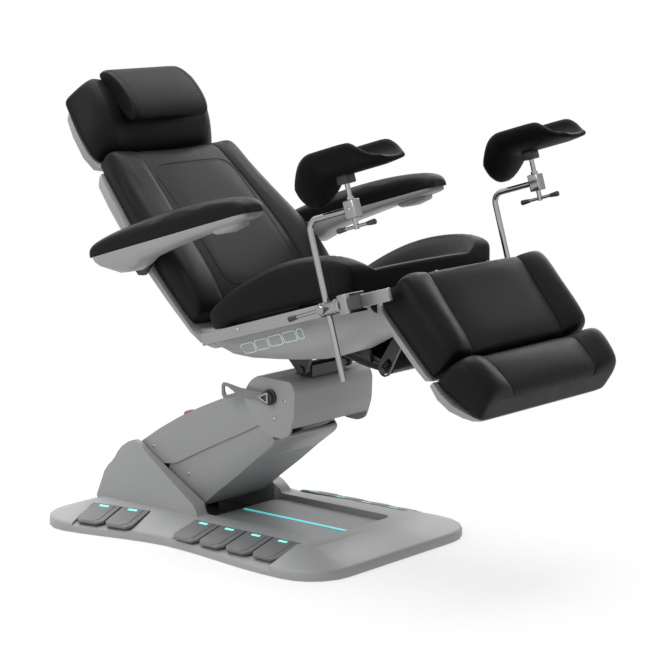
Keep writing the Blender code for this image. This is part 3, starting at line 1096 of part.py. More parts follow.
for side, word in ((-1, "right"), (1, "left")):
    x = side * POST_X
    jaw_v = POST_V - BARREL_LENGTH + BARREL_SETBACK
    clamp = box(f"rail_clamp_{word}", (side * (RAIL_INNER - JAW_HOOK), jaw_v - JAW_V, -JAW_LIP),
                (side * (POST_X + JAW_REACH), jaw_v, RAIL_HEIGHT + JAW_LIP), seat, CHROME)
    bevel(clamp, JAW_EDGE, 1)
    join(clamp, rod(f"clamp_barrel_{word}", (x, jaw_v - 2 * ROOT, RAIL_MIDDLE),
                    (x, jaw_v + BARREL_LENGTH, RAIL_MIDDLE), BARREL_RADIUS, seat, None, 20))
    cut(clamp, box(f"jaw_slot_{word}", (side * (RAIL_INNER - BARREL_RADIUS), jaw_v - BEYOND, -GAP),
                   (side * (RAIL_OUTER + GAP), jaw_v + BEYOND, RAIL_HEIGHT + GAP), seat),
        rod(f"post_bore_{word}", (x, POST_V, -BEYOND), (x, POST_V, BEYOND), hole(POST_RADIUS), seat))

    lever_x = POST_X + BARREL_RADIUS + GAP
    lever_axis = frame(f"clamp_lever_axis_{word}", seat, POST_V, RAIL_MIDDLE)
    clamp_lever = rod(f"clamp_lever_{word}", (side * lever_x, 0, 0),
                      (side * (lever_x + LEVER_HUB_LENGTH), 0, 0), LEVER_HUB_RADIUS, lever_axis, CHROME, 20)
    lever_mid = side * (lever_x + LEVER_HUB_LENGTH / 2)
    bar_end = Vector((lever_mid, CLAMP_LEVER_LENGTH, -CLAMP_LEVER_DROP))
    hub = Vector((lever_mid, 0, 0))
    tip_start = bar_end + (hub - bar_end).normalized() * TIP_LENGTH
    join(clamp_lever, rod(f"lever_bar_{word}", hub, bar_end, CLAMP_LEVER_RADIUS, lever_axis, None, 12),
         rod(f"lever_tip_{word}", tip_start, bar_end + (bar_end - hub).normalized() * ROOT,
             CLAMP_LEVER_RADIUS + TIP_STEP, lever_axis, None, 12, CLAMP_LEVER_RADIUS + TIP_FLARE))

    bend = arc((POST_V - POST_BEND, POST_HIGH - POST_BEND), POST_BEND, 0, 90, 5)
    route = [(x, POST_V, POST_LOW)] + [(x, v, w) for v, w in bend]
    stub_v = STEM_V + CLAMP_BLOCK_V / 2 - ROOT
    route.append((x, stub_v, POST_HIGH))
    tube(f"support_post_{word}", route, POST_RADIUS, seat, CHROME, 3)

    half_block = Vector((CLAMP_BLOCK_X, CLAMP_BLOCK_V, CLAMP_BLOCK_W)) / 2
    block_middle = Vector((x, STEM_V, POST_HIGH))
    block = box(f"pad_clamp_{word}", block_middle - half_block, block_middle + half_block, seat, CHROME)
    bevel(block, BLOCK_EDGE, 2)
    cut(block, rod(f"stub_bore_{word}", (x, stub_v - GAP, POST_HIGH), (x, STEM_V + BEYOND, POST_HIGH),
                   hole(POST_RADIUS), seat),
        rod(f"stem_bore_{word}", (x, STEM_V, POST_HIGH - BEYOND), (x, STEM_V, POST_HIGH + BEYOND),
            hole(STEM_RADIUS), seat))

    tee_axis = frame(f"tee_axis_{word}", seat, STEM_V, 0.0)
    tee = rod(f"tee_handle_{word}", (x, 0, STEM_LOW), (x, 0, STEM_HIGH - GAP), STEM_RADIUS, tee_axis, CHROME)
    tee_w = STEM_LOW + TEE_RISE
    half_tee = TEE_LENGTH / 2
    bar_half = half_tee - OVERCUT
    join(tee, rod(f"tee_bar_{word}", (x, -bar_half, tee_w), (x, bar_half, tee_w), TEE_RADIUS, tee_axis))
    for end in (-1, 1):
        join(tee, rod(f"tee_tip_{word}_{end}", (x, end * (half_tee - TIP_LENGTH), tee_w),
                      (x, end * half_tee, tee_w), TEE_RADIUS + TIP_STEP, tee_axis, None, 10,
                      TEE_RADIUS + TIP_FLARE))
    collar_w = POST_HIGH + CLAMP_BLOCK_W / 2
    join(tee, rod(f"tee_collar_{word}", (x, 0, collar_w + GAP), (x, 0, collar_w + COLLAR_HEIGHT),
                  STEM_RADIUS + COLLAR_STEP, tee_axis))

    pad = open_skin(f"leg_pad_{word}", pad_rows(x), PAD_THICK, tee_axis, UPHOLSTERY, 0.0)
    softening = pad.modifiers.new("soften", "SUBSURF")
    softening.levels = 1
    softening.render_levels = 1
    half_mount = MOUNT_SIZE / 2
    join(pad, box(f"pad_mount_{word}", (x - half_mount, -half_mount, STEM_HIGH),
                  (x + half_mount, half_mount, PAD_FLOOR), tee_axis))
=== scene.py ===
"""Looks of the examination chair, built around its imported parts.

Metres, +Z up, in the frame of the parts: +Y is the head end and +X the patient's left.
"""
import math

import bmesh
import bpy
import numpy as np
from mathutils import Matrix, Vector
from mathutils.bvhtree import BVHTree


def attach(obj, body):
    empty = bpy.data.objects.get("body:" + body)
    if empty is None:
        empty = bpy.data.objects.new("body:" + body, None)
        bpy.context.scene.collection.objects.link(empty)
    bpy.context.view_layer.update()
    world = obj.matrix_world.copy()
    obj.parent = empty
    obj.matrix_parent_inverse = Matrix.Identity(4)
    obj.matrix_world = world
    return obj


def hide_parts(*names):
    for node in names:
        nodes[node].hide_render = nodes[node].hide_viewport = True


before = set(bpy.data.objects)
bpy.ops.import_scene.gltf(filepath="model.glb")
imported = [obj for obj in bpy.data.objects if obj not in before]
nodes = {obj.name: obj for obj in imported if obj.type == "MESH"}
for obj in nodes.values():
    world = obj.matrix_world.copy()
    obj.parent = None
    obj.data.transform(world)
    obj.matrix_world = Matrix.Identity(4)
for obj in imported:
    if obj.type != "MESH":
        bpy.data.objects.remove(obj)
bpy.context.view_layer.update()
scene = bpy.context.scene

# Studio: a pale paper floor that fades to white, with large soft lamps and an even white surround.
# The camera stands low at the foot end, on the patient's right, behind a long lens.
EYE = Vector((-4.68585, -4.20294, 1.66980))
LOOK_YAW = 0.70074288
LOOK_DIP = 0.17098667
FOCAL_PIXELS = 2280.37
PICTURE_SIDE = 650
SENSOR_WIDTH = 36.0
WHITE = (1.0, 1.0, 1.0, 1.0)
SURROUND_LIGHT = 0.22
LAMP_AIM = Vector((0.0, -0.1, 0.5))
LAMPS = (("overhead", (0.0, 0.2, 3.9), 3.6, 195.0), ("key", (-3.2, 0.3, 2.4), 2.4, 50.0),
         ("fill", (3.0, 0.2, 2.4), 2.4, 54.0), ("rear", (0.4, 3.2, 2.8), 2.4, 34.0))
FLOOR_RADIUS = 2.6
FLOOR_SIDES = 96
FLOOR_DROP = 0.0006
FLOOR_TONE = (0.92, 0.92, 0.92, 1.0)
FADE_START = 0.6
FADE_END = 1.9
FADE_LEAST = 0.70


def add(tree, kind, sockets=None, **settings):
    """A node with its settings, and its inputs set or linked."""
    node = tree.nodes.new(kind)
    for key, value in settings.items():
        setattr(node, key, value)
    for key, value in (sockets or {}).items():
        if isinstance(value, bpy.types.NodeSocket):
            tree.links.new(value, node.inputs[key])
        else:
            node.inputs[key].default_value = value
    return node


def new_material(name):
    """A material with its tree and its Principled shader."""
    material = bpy.data.materials.new(name)
    material.use_nodes = True
    return material, material.node_tree, material.node_tree.nodes["Principled BSDF"]


def new_piece(name, mesh, material):
    """An object at the origin that shows a finished mesh."""
    piece = bpy.data.objects.new(name, mesh)
    mesh.materials.clear()
    mesh.materials.append(material)
    scene.collection.objects.link(piece)
    return piece


def facing_along(direction):
    """The turn that points a camera or a lamp along a direction."""
    return direction.to_track_quat("-Z", "Y").to_euler()


flat = math.cos(LOOK_DIP)
look = Vector((math.cos(LOOK_YAW) * flat, math.sin(LOOK_YAW) * flat, -math.sin(LOOK_DIP)))
camera_data = bpy.data.cameras.new("camera")
camera_data.sensor_width = SENSOR_WIDTH
camera_data.lens = FOCAL_PIXELS * SENSOR_WIDTH / PICTURE_SIDE
camera = bpy.data.objects.new("camera", camera_data)
camera.location = EYE
camera.rotation_euler = facing_along(look)
scene.collection.objects.link(camera)
scene.camera = camera
scene.view_settings.view_transform = "Standard"

world = bpy.data.worlds.new("surround")
scene.world = world
world.use_nodes = True
sky = world.node_tree
sky.nodes.clear()
rays = add(sky, "ShaderNodeLightPath").outputs
seen = add(sky, "ShaderNodeMath", {0: rays["Is Camera Ray"], 1: rays["Is Glossy Ray"]}, operation="MAXIMUM")
seen = add(sky, "ShaderNodeMath", {0: seen.outputs[0], 1: rays["Is Transmission Ray"]}, operation="MAXIMUM")
lit = add(sky, "ShaderNodeBackground", {"Color": WHITE, "Strength": SURROUND_LIGHT})
white = add(sky, "ShaderNodeBackground", {"Color": WHITE, "Strength": 1.0})
mixed = add(sky, "ShaderNodeMixShader", {0: seen.outputs[0], 1: lit.outputs[0], 2: white.outputs[0]})
add(sky, "ShaderNodeOutputWorld", {"Surface": mixed.outputs[0]})

for lamp_name, spot, size, power in LAMPS:
    lamp = bpy.data.lights.new(lamp_name, "AREA")
    lamp.size = size
    lamp.energy = power
    holder = bpy.data.objects.new(lamp_name, lamp)
    holder.location = spot
    holder.rotation_euler = facing_along(LAMP_AIM - Vector(spot))
    scene.collection.objects.link(holder)

floor_shape = bmesh.new()
bmesh.ops.create_circle(floor_shape, cap_ends=True, segments=FLOOR_SIDES, radius=FLOOR_RADIUS)
floor_shape.transform(Matrix.Translation((0.0, 0.0, -FLOOR_DROP)))
floor_mesh = bpy.data.meshes.new("floor")
floor_shape.to_mesh(floor_mesh)
floor_shape.free()
floor_material, tree, shader = new_material("floor_paper")
place = add(tree, "ShaderNodeTexCoord")
reach = add(tree, "ShaderNodeVectorMath", {0: place.outputs["Object"]}, operation="LENGTH")
fade = add(tree, "ShaderNodeMapRange", {
    "Value": reach.outputs["Value"], "From Min": FADE_START, "From Max": FADE_END, "To Min": FADE_LEAST},
    interpolation_type="SMOOTHSTEP")
shader.inputs["Base Color"].default_value = FLOOR_TONE
shader.inputs["Roughness"].default_value = 0.9
shader.inputs["Specular IOR Level"].default_value = 0.0
glow = add(tree, "ShaderNodeEmission", {"Color": WHITE, "Strength": 1.0})
paper = add(tree, "ShaderNodeMixShader", {
    0: fade.outputs["Result"], 1: shader.outputs[0], 2: glow.outputs[0]})
tree.links.new(paper.outputs[0], tree.nodes["Material Output"].inputs["Surface"])
new_piece("floor", floor_mesh, floor_material)

# Plinth: one thick moulding of grey plastic on the floor, with a tray, two cheeks and key pockets.
# Its skin has a fine spark-eroded grain. The black steel floor plate and the motor sit inside it.
GREY = (0.3, 0.3, 0.3, 1.0)
SHELL_TONE = (0.320, 0.322, 0.324, 1.0)
PAINT_TONE = (0.016, 0.016, 0.017, 1.0)
SURFACE_OUTPUTS = (("Color", "NodeSocketColor"), ("Roughness", "NodeSocketFloat"),
                   ("Height", "NodeSocketFloat"))
RELIEF_DEPTH = 0.001
WELD = 1e-5
FLAT_ANGLE = 0.5
SHARP_ANGLE = 38.0
BASE_EDGE = 0.0040


def new_group(name, inputs):
    """A surface group with named inputs, and its two end nodes."""
    tree = bpy.data.node_groups.new(name, "ShaderNodeTree")
    for label, kind, value in inputs:
        tree.interface.new_socket(label, in_out="INPUT", socket_type=kind).default_value = value
    for label, kind in SURFACE_OUTPUTS:
        tree.interface.new_socket(label, in_out="OUTPUT", socket_type=kind)
    return tree, tree.nodes.new("NodeGroupInput"), tree.nodes.new("NodeGroupOutput")


def put_out(tree, made, *results):
    """Link a surface group's results to its outputs, in their order."""
    for socket, result in zip(made.inputs, results):
        tree.links.new(result, socket)


def spot_on(tree):
    """The place on the piece, in metres."""
    return add(tree, "ShaderNodeTexCoord").outputs["Object"]


def noise(tree, spot, scale, detail=2.0):
    """A soft noise from 0 to 1."""
    return add(tree, "ShaderNodeTexNoise", {"Vector": spot, "Scale": scale, "Detail": detail}).outputs["Fac"]


def swing(tree, value):
    """A value from 0 to 1, moved to lie about zero."""
    return add(tree, "ShaderNodeMath", {0: value, 1: 0.5}, operation="SUBTRACT").outputs[0]


def raised(tree, level, value, amount):
    """A level with an amount of a value added to it."""
    return add(tree, "ShaderNodeMath", {0: value, 1: amount, 2: level}, operation="MULTIPLY_ADD").outputs[0]


def ranged(tree, value, low, high, full=1.0):
    """A value from 0 to full, moved to lie between low and high."""
    sockets = {"Value": value, "From Max": full, "To Min": low, "To Max": high}
    return add(tree, "ShaderNodeMapRange", sockets).outputs["Result"]


def brightened(tree, color, level):
    """A colour made brighter or darker by a level about one."""
    return add(tree, "ShaderNodeHueSaturation", {"Color": color, "Value": level}).outputs["Color"]


def moulded_grain_group():
    """Fine grain, with a slow drift of tone and gloss over the moulding."""
    tree, given, made = new_group("moulded_grain", (
        ("Tone", "NodeSocketColor", GREY), ("Spread", "NodeSocketFloat", 0.1),
        ("Grains", "NodeSocketFloat", 900.0), ("Gloss", "NodeSocketFloat", 0.45)))
    spot = spot_on(tree)
    grain = noise(tree, spot, given.outputs["Grains"])
    drift = swing(tree, noise(tree, spot, 4.0, 3.0))
    level = raised(tree, 1.0, drift, given.outputs["Spread"])
    gloss = raised(tree, given.outputs["Gloss"], drift, 0.25)
    put_out(tree, made, brightened(tree, given.outputs["Tone"], level), gloss, grain)
    return tree


MOULDED_GRAIN = moulded_grain_group()


def surfaced(name, group, values, bump, metallic=0.0, specular=0.5):
    """A Principled material whose colour, gloss and relief come from a surface group."""
    material, tree, shader = new_material(name)
    skin = add(tree, "ShaderNodeGroup", values, node_tree=group).outputs
    relief = add(tree, "ShaderNodeBump", {
        "Height": skin["Height"], "Strength": bump, "Distance": RELIEF_DEPTH})
    tree.links.new(skin["Color"], shader.inputs["Base Color"])
    tree.links.new(skin["Roughness"], shader.inputs["Roughness"])
    tree.links.new(relief.outputs["Normal"], shader.inputs["Normal"])
    shader.inputs["Metallic"].default_value = metallic
    shader.inputs["Specular IOR Level"].default_value = specular
    return material


def smoothed(mesh, angle=SHARP_ANGLE):
    """A mesh with smooth faces, and with sharp edges past an angle in degrees."""
    mesh.shade_smooth()
    mesh.set_sharp_from_angle(angle=math.radians(angle))
    return mesh


def dressed_copy(node, material, body, edge=0.0):
    """A welded copy of a part with its flat facets merged, its edges eased and its faces smooth."""
    shape = bmesh.new()
    shape.from_mesh(nodes[node].data)
    bmesh.ops.remove_doubles(shape, verts=shape.verts, dist=WELD)
    bmesh.ops.dissolve_limit(shape, angle_limit=math.radians(FLAT_ANGLE),
                             verts=shape.verts, edges=shape.edges)
    mesh = bpy.data.meshes.new(node + "_skin")
    shape.to_mesh(mesh)
    shape.free()
    piece = new_piece(node + "_skin", smoothed(mesh), material)
    if edge:
        easing = piece.modifiers.new("eased_edges", "BEVEL")
        easing.width = edge
        easing.segments = 2
        easing.limit_method = "ANGLE"
        easing.angle_limit = math.radians(SHARP_ANGLE)
        easing.harden_normals = True
    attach(piece, body)
    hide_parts(node)
    return piece


def coat(node, material):
    """A part that keeps its own mesh and gets a finish."""
    nodes[node].data.materials.clear()
    nodes[node].data.materials.append(material)


shell_plastic = surfaced("shell_plastic", MOULDED_GRAIN,
                         {"Tone": SHELL_TONE, "Spread": 0.10, "Grains": 1300.0, "Gloss": 0.46}, 0.025)
black_paint = surfaced("black_paint", MOULDED_GRAIN,
                       {"Tone": PAINT_TONE, "Spread": 0.5, "Grains": 700.0, "Gloss": 0.42}, 0.12)
dressed_copy("base_cover", shell_plastic, "base", BASE_EDGE)
coat("base_frame", black_paint)
coat("lift_motor", black_paint)


# Light strip: a frosted plastic bar set in the tray floor.
# It is lit from below in pale cyan, a little unevenly.
def glowing(name, tone, cloud, low, high, strength, gloss=0.5):
    """A lit plastic whose brightness drifts between low and high."""
    material, tree, shader = new_material(name)
    tint = brightened(tree, tone, ranged(tree, noise(tree, spot_on(tree), cloud), low, high))
    tree.links.new(tint, shader.inputs["Base Color"])
    tree.links.new(tint, shader.inputs["Emission Color"])
    shader.inputs["Emission Strength"].default_value = strength
    shader.inputs["Roughness"].default_value = gloss
    return material


STRIP_TONE = (0.13, 0.72, 0.78, 1.0)
coat("tray_light", glowing("strip_light", STRIP_TONE, 60.0, 0.85, 1.1, 0.55, 0.4))

# Foot keys: darker moulded treads hinged at their inner edge, four in front and two behind on each side.
# Each has a raised land with a step along its front edge, and a lit bar near the hinge.
SIDES = ((-1, "right"), (1, "left"))
KEY_TONE = (0.150, 0.152, 0.155, 1.0)
BAR_TONE = (0.24, 0.86, 0.80, 1.0)
KEY_ROWS = ((1, 4, 0.222, -0.1605, 0.0), (5, 2, 0.251, 0.290, 11.0))
KEY_HINGE_Z = 0.060
KEY_SLOPE = 14.0
KEY_PITCH = 0.097
KEY_LENGTH = 0.108
KEY_HALF = 0.046
KEY_CHAMFER = 0.016
KEY_TOP = 0.004
KEY_THICK = 0.009
KEY_MARGIN = 0.0003
KEY_EDGE = 0.0014
LAND_MARGIN = 0.0035
LAND_STEP = 0.014
LAND_HEIGHT = 0.0014
LAND_EDGE = 0.0008
KEY_BODY = KEY_THICK - LAND_HEIGHT
BAR_SIZE = (0.009, 0.030, 0.0008)
BAR_SPOT = (0.014, 0.004)
BAR_EDGE = 0.0003
CURVE_WELD = 1e-6
CUT_ANGLE = 35.0
key_plastic = surfaced("key_plastic", MOULDED_GRAIN,
                       {"Tone": KEY_TONE, "Spread": 0.12, "Grains": 1000.0, "Gloss": 0.52}, 0.14)
bar_light = glowing("key_light", BAR_TONE, 90.0, 0.9, 1.08, 0.6)


def add_line(curve, points, closed):
    """A line of straight stretches in a curve."""
    line = curve.splines.new("POLY")
    line.points.add(len(points) - 1)
    for point, spot in zip(line.points, points):
        point.co = (*spot, 1.0)
    line.use_cyclic_u = closed


def curve_mesh(curve, angle, place=Matrix.Identity(4)):
    """The plain mesh of a curve, welded, turned outwards and placed."""
    holder = bpy.data.objects.new(curve.name, curve)
    scene.collection.objects.link(holder)
    mesh = bpy.data.meshes.new_from_object(holder.evaluated_get(bpy.context.evaluated_depsgraph_get()))
    bpy.data.objects.remove(holder)
    shape = bmesh.new()
    shape.from_mesh(mesh)
    bmesh.ops.remove_doubles(shape, verts=shape.verts, dist=CURVE_WELD)
    bmesh.ops.recalc_face_normals(shape, faces=shape.faces)
    shape.transform(place)
    shape.to_mesh(mesh)
    shape.free()
    return smoothed(mesh, angle)


def extruded(name, outlines, thickness, place, edge):
    """A mesh of an outline and its holes, with eased edges, drawn flat about z = 0 and then placed."""
    curve = bpy.data.curves.new(name, "CURVE")
    curve.dimensions = "2D"
    curve.fill_mode = "BOTH"
    curve.extrude = thickness / 2 - edge
    curve.bevel_depth = edge
    curve.bevel_resolution = 2
    curve.offset = -edge
    for outline in outlines:
        add_line(curve, [(a, b, 0.0) for a, b in outline], True)
    return curve_mesh(curve, CUT_ANGLE, place)


def joined(name, meshes, material):
    """One piece from several meshes of the same finish."""
    shape = bmesh.new()
    for mesh in meshes:
        shape.from_mesh(mesh)
        bpy.data.meshes.remove(mesh)
    whole = bpy.data.meshes.new(name)
    shape.to_mesh(whole)
    shape.free()
    return new_piece(name, whole, material)


def rectangle(long, wide, middle=(0.0, 0.0)):
    """The four corners of a rectangle, counted round."""
    a, b = middle
    return [(a - long / 2, b - wide / 2), (a + long / 2, b - wide / 2),
            (a + long / 2, b + wide / 2), (a - long / 2, b + wide / 2)]


def key_outline(margin, step):
    """A key's plan from above, with its two outer corners cut off."""
    low, high = -KEY_HALF + margin + step, KEY_HALF - margin
    far = KEY_LENGTH - margin
    return [(margin, low), (far - KEY_CHAMFER, low), (far, low + KEY_CHAMFER), (far, high - KEY_CHAMFER),
            (far - KEY_CHAMFER, high), (margin, high)]


def add_key(name, side, at):
    """A tread with its land, and its lit bar, in the frame of one key."""
    body_place = at @ Matrix.Translation((0.0, 0.0, KEY_TOP - LAND_HEIGHT - KEY_BODY / 2))
    land_place = (at @ Matrix.Diagonal((1.0, side, 1.0, 1.0))
                  @ Matrix.Translation((0.0, 0.0, KEY_TOP - LAND_HEIGHT)))
    tread = joined(name + "_tread", [
        extruded("key_body", [key_outline(KEY_MARGIN, 0.0)], KEY_BODY, body_place, KEY_EDGE),
        extruded("key_land", [key_outline(LAND_MARGIN, LAND_STEP)], 2 * LAND_HEIGHT, land_place, LAND_EDGE)],
        key_plastic)
    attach(tread, name)
    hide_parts(name)
    long, wide, high = BAR_SIZE
    bar_place = at @ Matrix.Translation((BAR_SPOT[0], BAR_SPOT[1] * side, KEY_TOP))
    bar_mesh = extruded("key_bar", [rectangle(long, wide)], high, bar_place, BAR_EDGE)
    bar = new_piece(name + "_bar", bar_mesh, bar_light)
    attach(bar, name)


for side, word in SIDES:
    for first, count, hinge_x, row_y, turn in KEY_ROWS:
        row = (Matrix.Translation((side * hinge_x, row_y, KEY_HINGE_Z))
               @ Matrix.Rotation(math.radians(-turn * side), 4, "Z")
               @ Matrix.Rotation(math.pi if side < 0 else 0.0, 4, "Z")
               @ Matrix.Rotation(math.radians(KEY_SLOPE), 4, "Y"))
        for k in range(count):
            centre = -side * (k - (count - 1) / 2) * KEY_PITCH
            add_key(f"pedal_{word}_{first + k}", side, row @ Matrix.Translation((0.0, centre, 0.0)))

# Lift column: two steel arms of a parallelogram under grey covers, held by small domed screws.
# A red mushroom button for an emergency stop stands on the upper cover.
METAL_STRETCH = (900.0, 8.0, 900.0)
SCREW_TONE = (0.36, 0.36, 0.37, 1.0)
BUTTON_TONE = (0.34, 0.012, 0.016, 1.0)
BUTTON_PROFILE = ((0.0, 0.0100), (0.0098, 0.0100), (0.0098, 0.0330), (0.0184, 0.0350), (0.0192, 0.0367),
                  (0.0192, 0.0405), (0.0185, 0.0440), (0.0165, 0.0473), (0.0130, 0.0495), (0.0080, 0.0507),
                  (0.0, 0.0510))
TURNED_SIDES = 40
AXIS_RADIUS = 1e-6
SOCKET_SHARE = 0.45
COVER_SCREW = (0.0055, 0.0028)
COVER_SCREW_SPOTS = (("upper", 0.1421, 0.270, 0.2223), ("lower", 0.1351, 0.140, 0.1595))
for node, body in (("upper_arm", "upper_lift"), ("lower_arm", "lower_lift")):
    coat(node, black_paint)
    dressed_copy(node + "_cover", shell_plastic, body)


def on_hinge(y, z, tilt):
    """The frame of a section that is hinged at (y, z) and tilted about X."""
    return Matrix.Translation((0.0, y, z)) @ Matrix.Rotation(math.radians(tilt), 4, "X")


def turned(name, profile, place):
    """A mesh turned from (radius, height) stops about the local Z axis, then placed."""
    shape = bmesh.new()
    angles = [2 * math.pi * k / TURNED_SIDES for k in range(TURNED_SIDES)]
    rings = []
    for radius, height in profile:
        if radius < AXIS_RADIUS:
            rings.append([shape.verts.new((0.0, 0.0, height))])
        else:
            circle = [(radius * math.cos(a), radius * math.sin(a), height) for a in angles]
            rings.append([shape.verts.new(spot) for spot in circle])
    for first, second in zip(rings, rings[1:]):
        for k in range(TURNED_SIDES):
            j = (k + 1) % TURNED_SIDES
            corners = [first[k % len(first)], first[j % len(first)],
                       second[j % len(second)], second[k % len(second)]]
            shape.faces.new(list(dict.fromkeys(corners)))
    bmesh.ops.recalc_face_normals(shape, faces=shape.faces)
    shape.transform(place)
    mesh = bpy.data.meshes.new(name)
    shape.to_mesh(mesh)
    shape.free()
    return smoothed(mesh)


UPPER_LIFT = on_hinge(0.272, 0.221, -24.4)
BUTTON_PLACE = UPPER_LIFT @ on_hinge(-0.036, 0.0223, 8.0)
red_plastic = surfaced("red_plastic", MOULDED_GRAIN,
                       {"Tone": BUTTON_TONE, "Spread": 0.15, "Grains": 500.0, "Gloss": 0.30}, 0.03)
button = new_piece("stop_button_cap", turned("stop_button_cap", BUTTON_PROFILE, BUTTON_PLACE), red_plastic)
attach(button, "stop_button")
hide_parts("stop_button")


def metal_lines_group():
    """Drawn or brushed metal: lines along one direction, with faint smudges."""
    tree, given, made = new_group("metal_lines", (
        ("Tone", "NodeSocketColor", GREY), ("Stretch", "NodeSocketVector", METAL_STRETCH),
        ("Gloss", "NodeSocketFloat", 0.3), ("Smudge", "NodeSocketFloat", 0.1)))
    spot = spot_on(tree)
    drawn = add(tree, "ShaderNodeVectorMath", {0: spot, 1: given.outputs["Stretch"]}, operation="MULTIPLY")
    lines = noise(tree, drawn.outputs[0], 1.0, 3.0)
    smudges = swing(tree, noise(tree, spot, 22.0, 4.0))
    tone = brightened(tree, given.outputs["Tone"], ranged(tree, lines, 0.90, 1.06))
    gloss = raised(tree, given.outputs["Gloss"], smudges, given.outputs["Smudge"])
    put_out(tree, made, tone, gloss, lines)
    return tree


METAL_LINES = metal_lines_group()
screw_metal = surfaced("screw_metal", METAL_LINES, {"Tone": SCREW_TONE, "Gloss": 0.30}, 0.03, 1.0)


def growth_tree(name, start, sizes, result):
    """A Geometry Nodes tree with a start, named sizes and one result, and its two end nodes."""
    tree = bpy.data.node_groups.new(name, "GeometryNodeTree")
    tree.interface.new_socket(start, in_out="INPUT", socket_type="NodeSocketGeometry")
    for label, value in sizes:
        tree.interface.new_socket(label, in_out="INPUT", socket_type="NodeSocketFloat").default_value = value
    tree.interface.new_socket(result, in_out="OUTPUT", socket_type="NodeSocketGeometry")
    return tree, tree.nodes.new("NodeGroupInput"), tree.nodes.new("NodeGroupOutput")


def set_out(tree, made, points, shape, facing, material):
    """End a tree with a shape on every point, turned to its facing, as a plain mesh with a finish."""
    turn = add(tree, "FunctionNodeAlignRotationToVector", {"Vector": facing}, axis="Z")
    spread = add(tree, "GeometryNodeInstanceOnPoints", {
        "Points": points, "Instance": shape, "Rotation": turn.outputs["Rotation"]})
    solid = add(tree, "GeometryNodeRealizeInstances", {"Geometry": spread.outputs[0]})
    finish = add(tree, "GeometryNodeSetMaterial", {"Geometry": solid.outputs[0], "Material": material})
    tree.links.new(finish.outputs[0], made.inputs[0])


def screw_tree():
    """Geometry Nodes that set a domed socket screw on every point, along its facing attribute."""
    tree, given, made = growth_tree("socket_screws", "Spots", (
        ("Head Radius", 0.005), ("Head Height", 0.003)), "Screws")
    radius, height = given.outputs["Head Radius"], given.outputs["Head Height"]
    dome = add(tree, "GeometryNodeMeshUVSphere", {"Segments": 20, "Rings": 10, "Radius": 1.0})
    size = add(tree, "ShaderNodeCombineXYZ", {"X": radius, "Y": radius, "Z": height})
    head = add(tree, "GeometryNodeTransform", {"Geometry": dome.outputs["Mesh"], "Scale": size.outputs[0]})
    across = add(tree, "ShaderNodeMath", {0: radius, 1: SOCKET_SHARE}, operation="MULTIPLY")
    key = add(tree, "GeometryNodeMeshCylinder", {"Vertices": 6, "Radius": across.outputs[0], "Depth": height})
    lifted = add(tree, "ShaderNodeCombineXYZ", {"Z": height})
    socket = add(tree, "GeometryNodeTransform", {
        "Geometry": key.outputs["Mesh"], "Translation": lifted.outputs[0]})
    cut = add(tree, "GeometryNodeMeshBoolean", {"Mesh 1": head.outputs[0], "Mesh 2": socket.outputs[0]},
              operation="DIFFERENCE")
    facing = add(tree, "GeometryNodeInputNamedAttribute", {"Name": "facing"}, data_type="FLOAT_VECTOR")
    set_out(tree, made, given.outputs["Spots"], cut.outputs["Mesh"], facing.outputs["Attribute"], screw_metal)
    return tree


def grown(name, tree, points, material, facings=None, edges=(), **sizes):
    """The plain mesh that a Geometry Nodes tree makes from points or a line of edges."""
    mesh = bpy.data.meshes.new(name)
    mesh.from_pydata([tuple(p) for p in points], list(edges), [])
    if facings is not None:
        layer = mesh.attributes.new("facing", "FLOAT_VECTOR", "POINT")
        layer.data.foreach_set("vector", np.array(facings, np.float32).ravel())
    holder = bpy.data.objects.new(name, mesh)
    scene.collection.objects.link(holder)
    growth = holder.modifiers.new("growth", "NODES")
    growth.node_group = tree
    for item in tree.interface.items_tree:
        label = item.name.replace(" ", "_").lower()
        if item.in_out == "INPUT" and label in sizes:
            growth[item.identifier] = sizes[label]
    result = bpy.data.meshes.new_from_object(holder.evaluated_get(bpy.context.evaluated_depsgraph_get()))
    holder.modifiers.remove(growth)
    bpy.data.objects.remove(holder)
    return new_piece(name, smoothed(result), material)


SCREWS = screw_tree()


def screws(name, body, spots, facing, head):
    """A set of like screws on one body, with the (radius, height) of their heads."""
    piece = grown(name, SCREWS, spots, screw_metal, [facing] * len(spots),
                  head_radius=head[0], head_height=head[1])
    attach(piece, body)


for side, word in SIDES:
    for cover, face, y, z in COVER_SCREW_SPOTS:
        screws(f"{cover}_cover_screws_{word}", f"{cover}_lift", [(side * face, y, z)],
               (side, 0.0, 0.0), COVER_SCREW)

# Column head: a grey cover over the block that joins the arms, with two screws in each cheek.
# On the right a flat lever with a finger loop turns on a black hub with a bright three-cornered cap.
HEAD_FACE = 0.1661
HEAD_SCREW = (0.0062, 0.0030)
HEAD_SCREW_SPOTS = ((-0.2495, 0.4231), (-0.2099, 0.3709))
LEVER_TONE = (0.200, 0.202, 0.205, 1.0)
LEVER_SPOT = (-0.1979, 0.4301)
LEVER_THICK = 0.006
LEVER_OUT = 0.0112
LEVER_EDGE = 0.0012
LEVER_OUTLINE = [(-0.010, -0.013), (0.030, -0.012), (0.100, -0.008), (0.146, -0.022), (0.160, -0.023),
                 (0.167, -0.014), (0.168, 0.012), (0.163, 0.021), (0.152, 0.022), (0.100, 0.014),
                 (0.030, 0.013), (-0.010, 0.013)]
LEVER_LOOP = [(0.118, -0.001), (0.146, -0.0115), (0.153, -0.0115), (0.1575, -0.004), (0.1585, 0.008),
              (0.154, 0.0135), (0.147, 0.0125)]
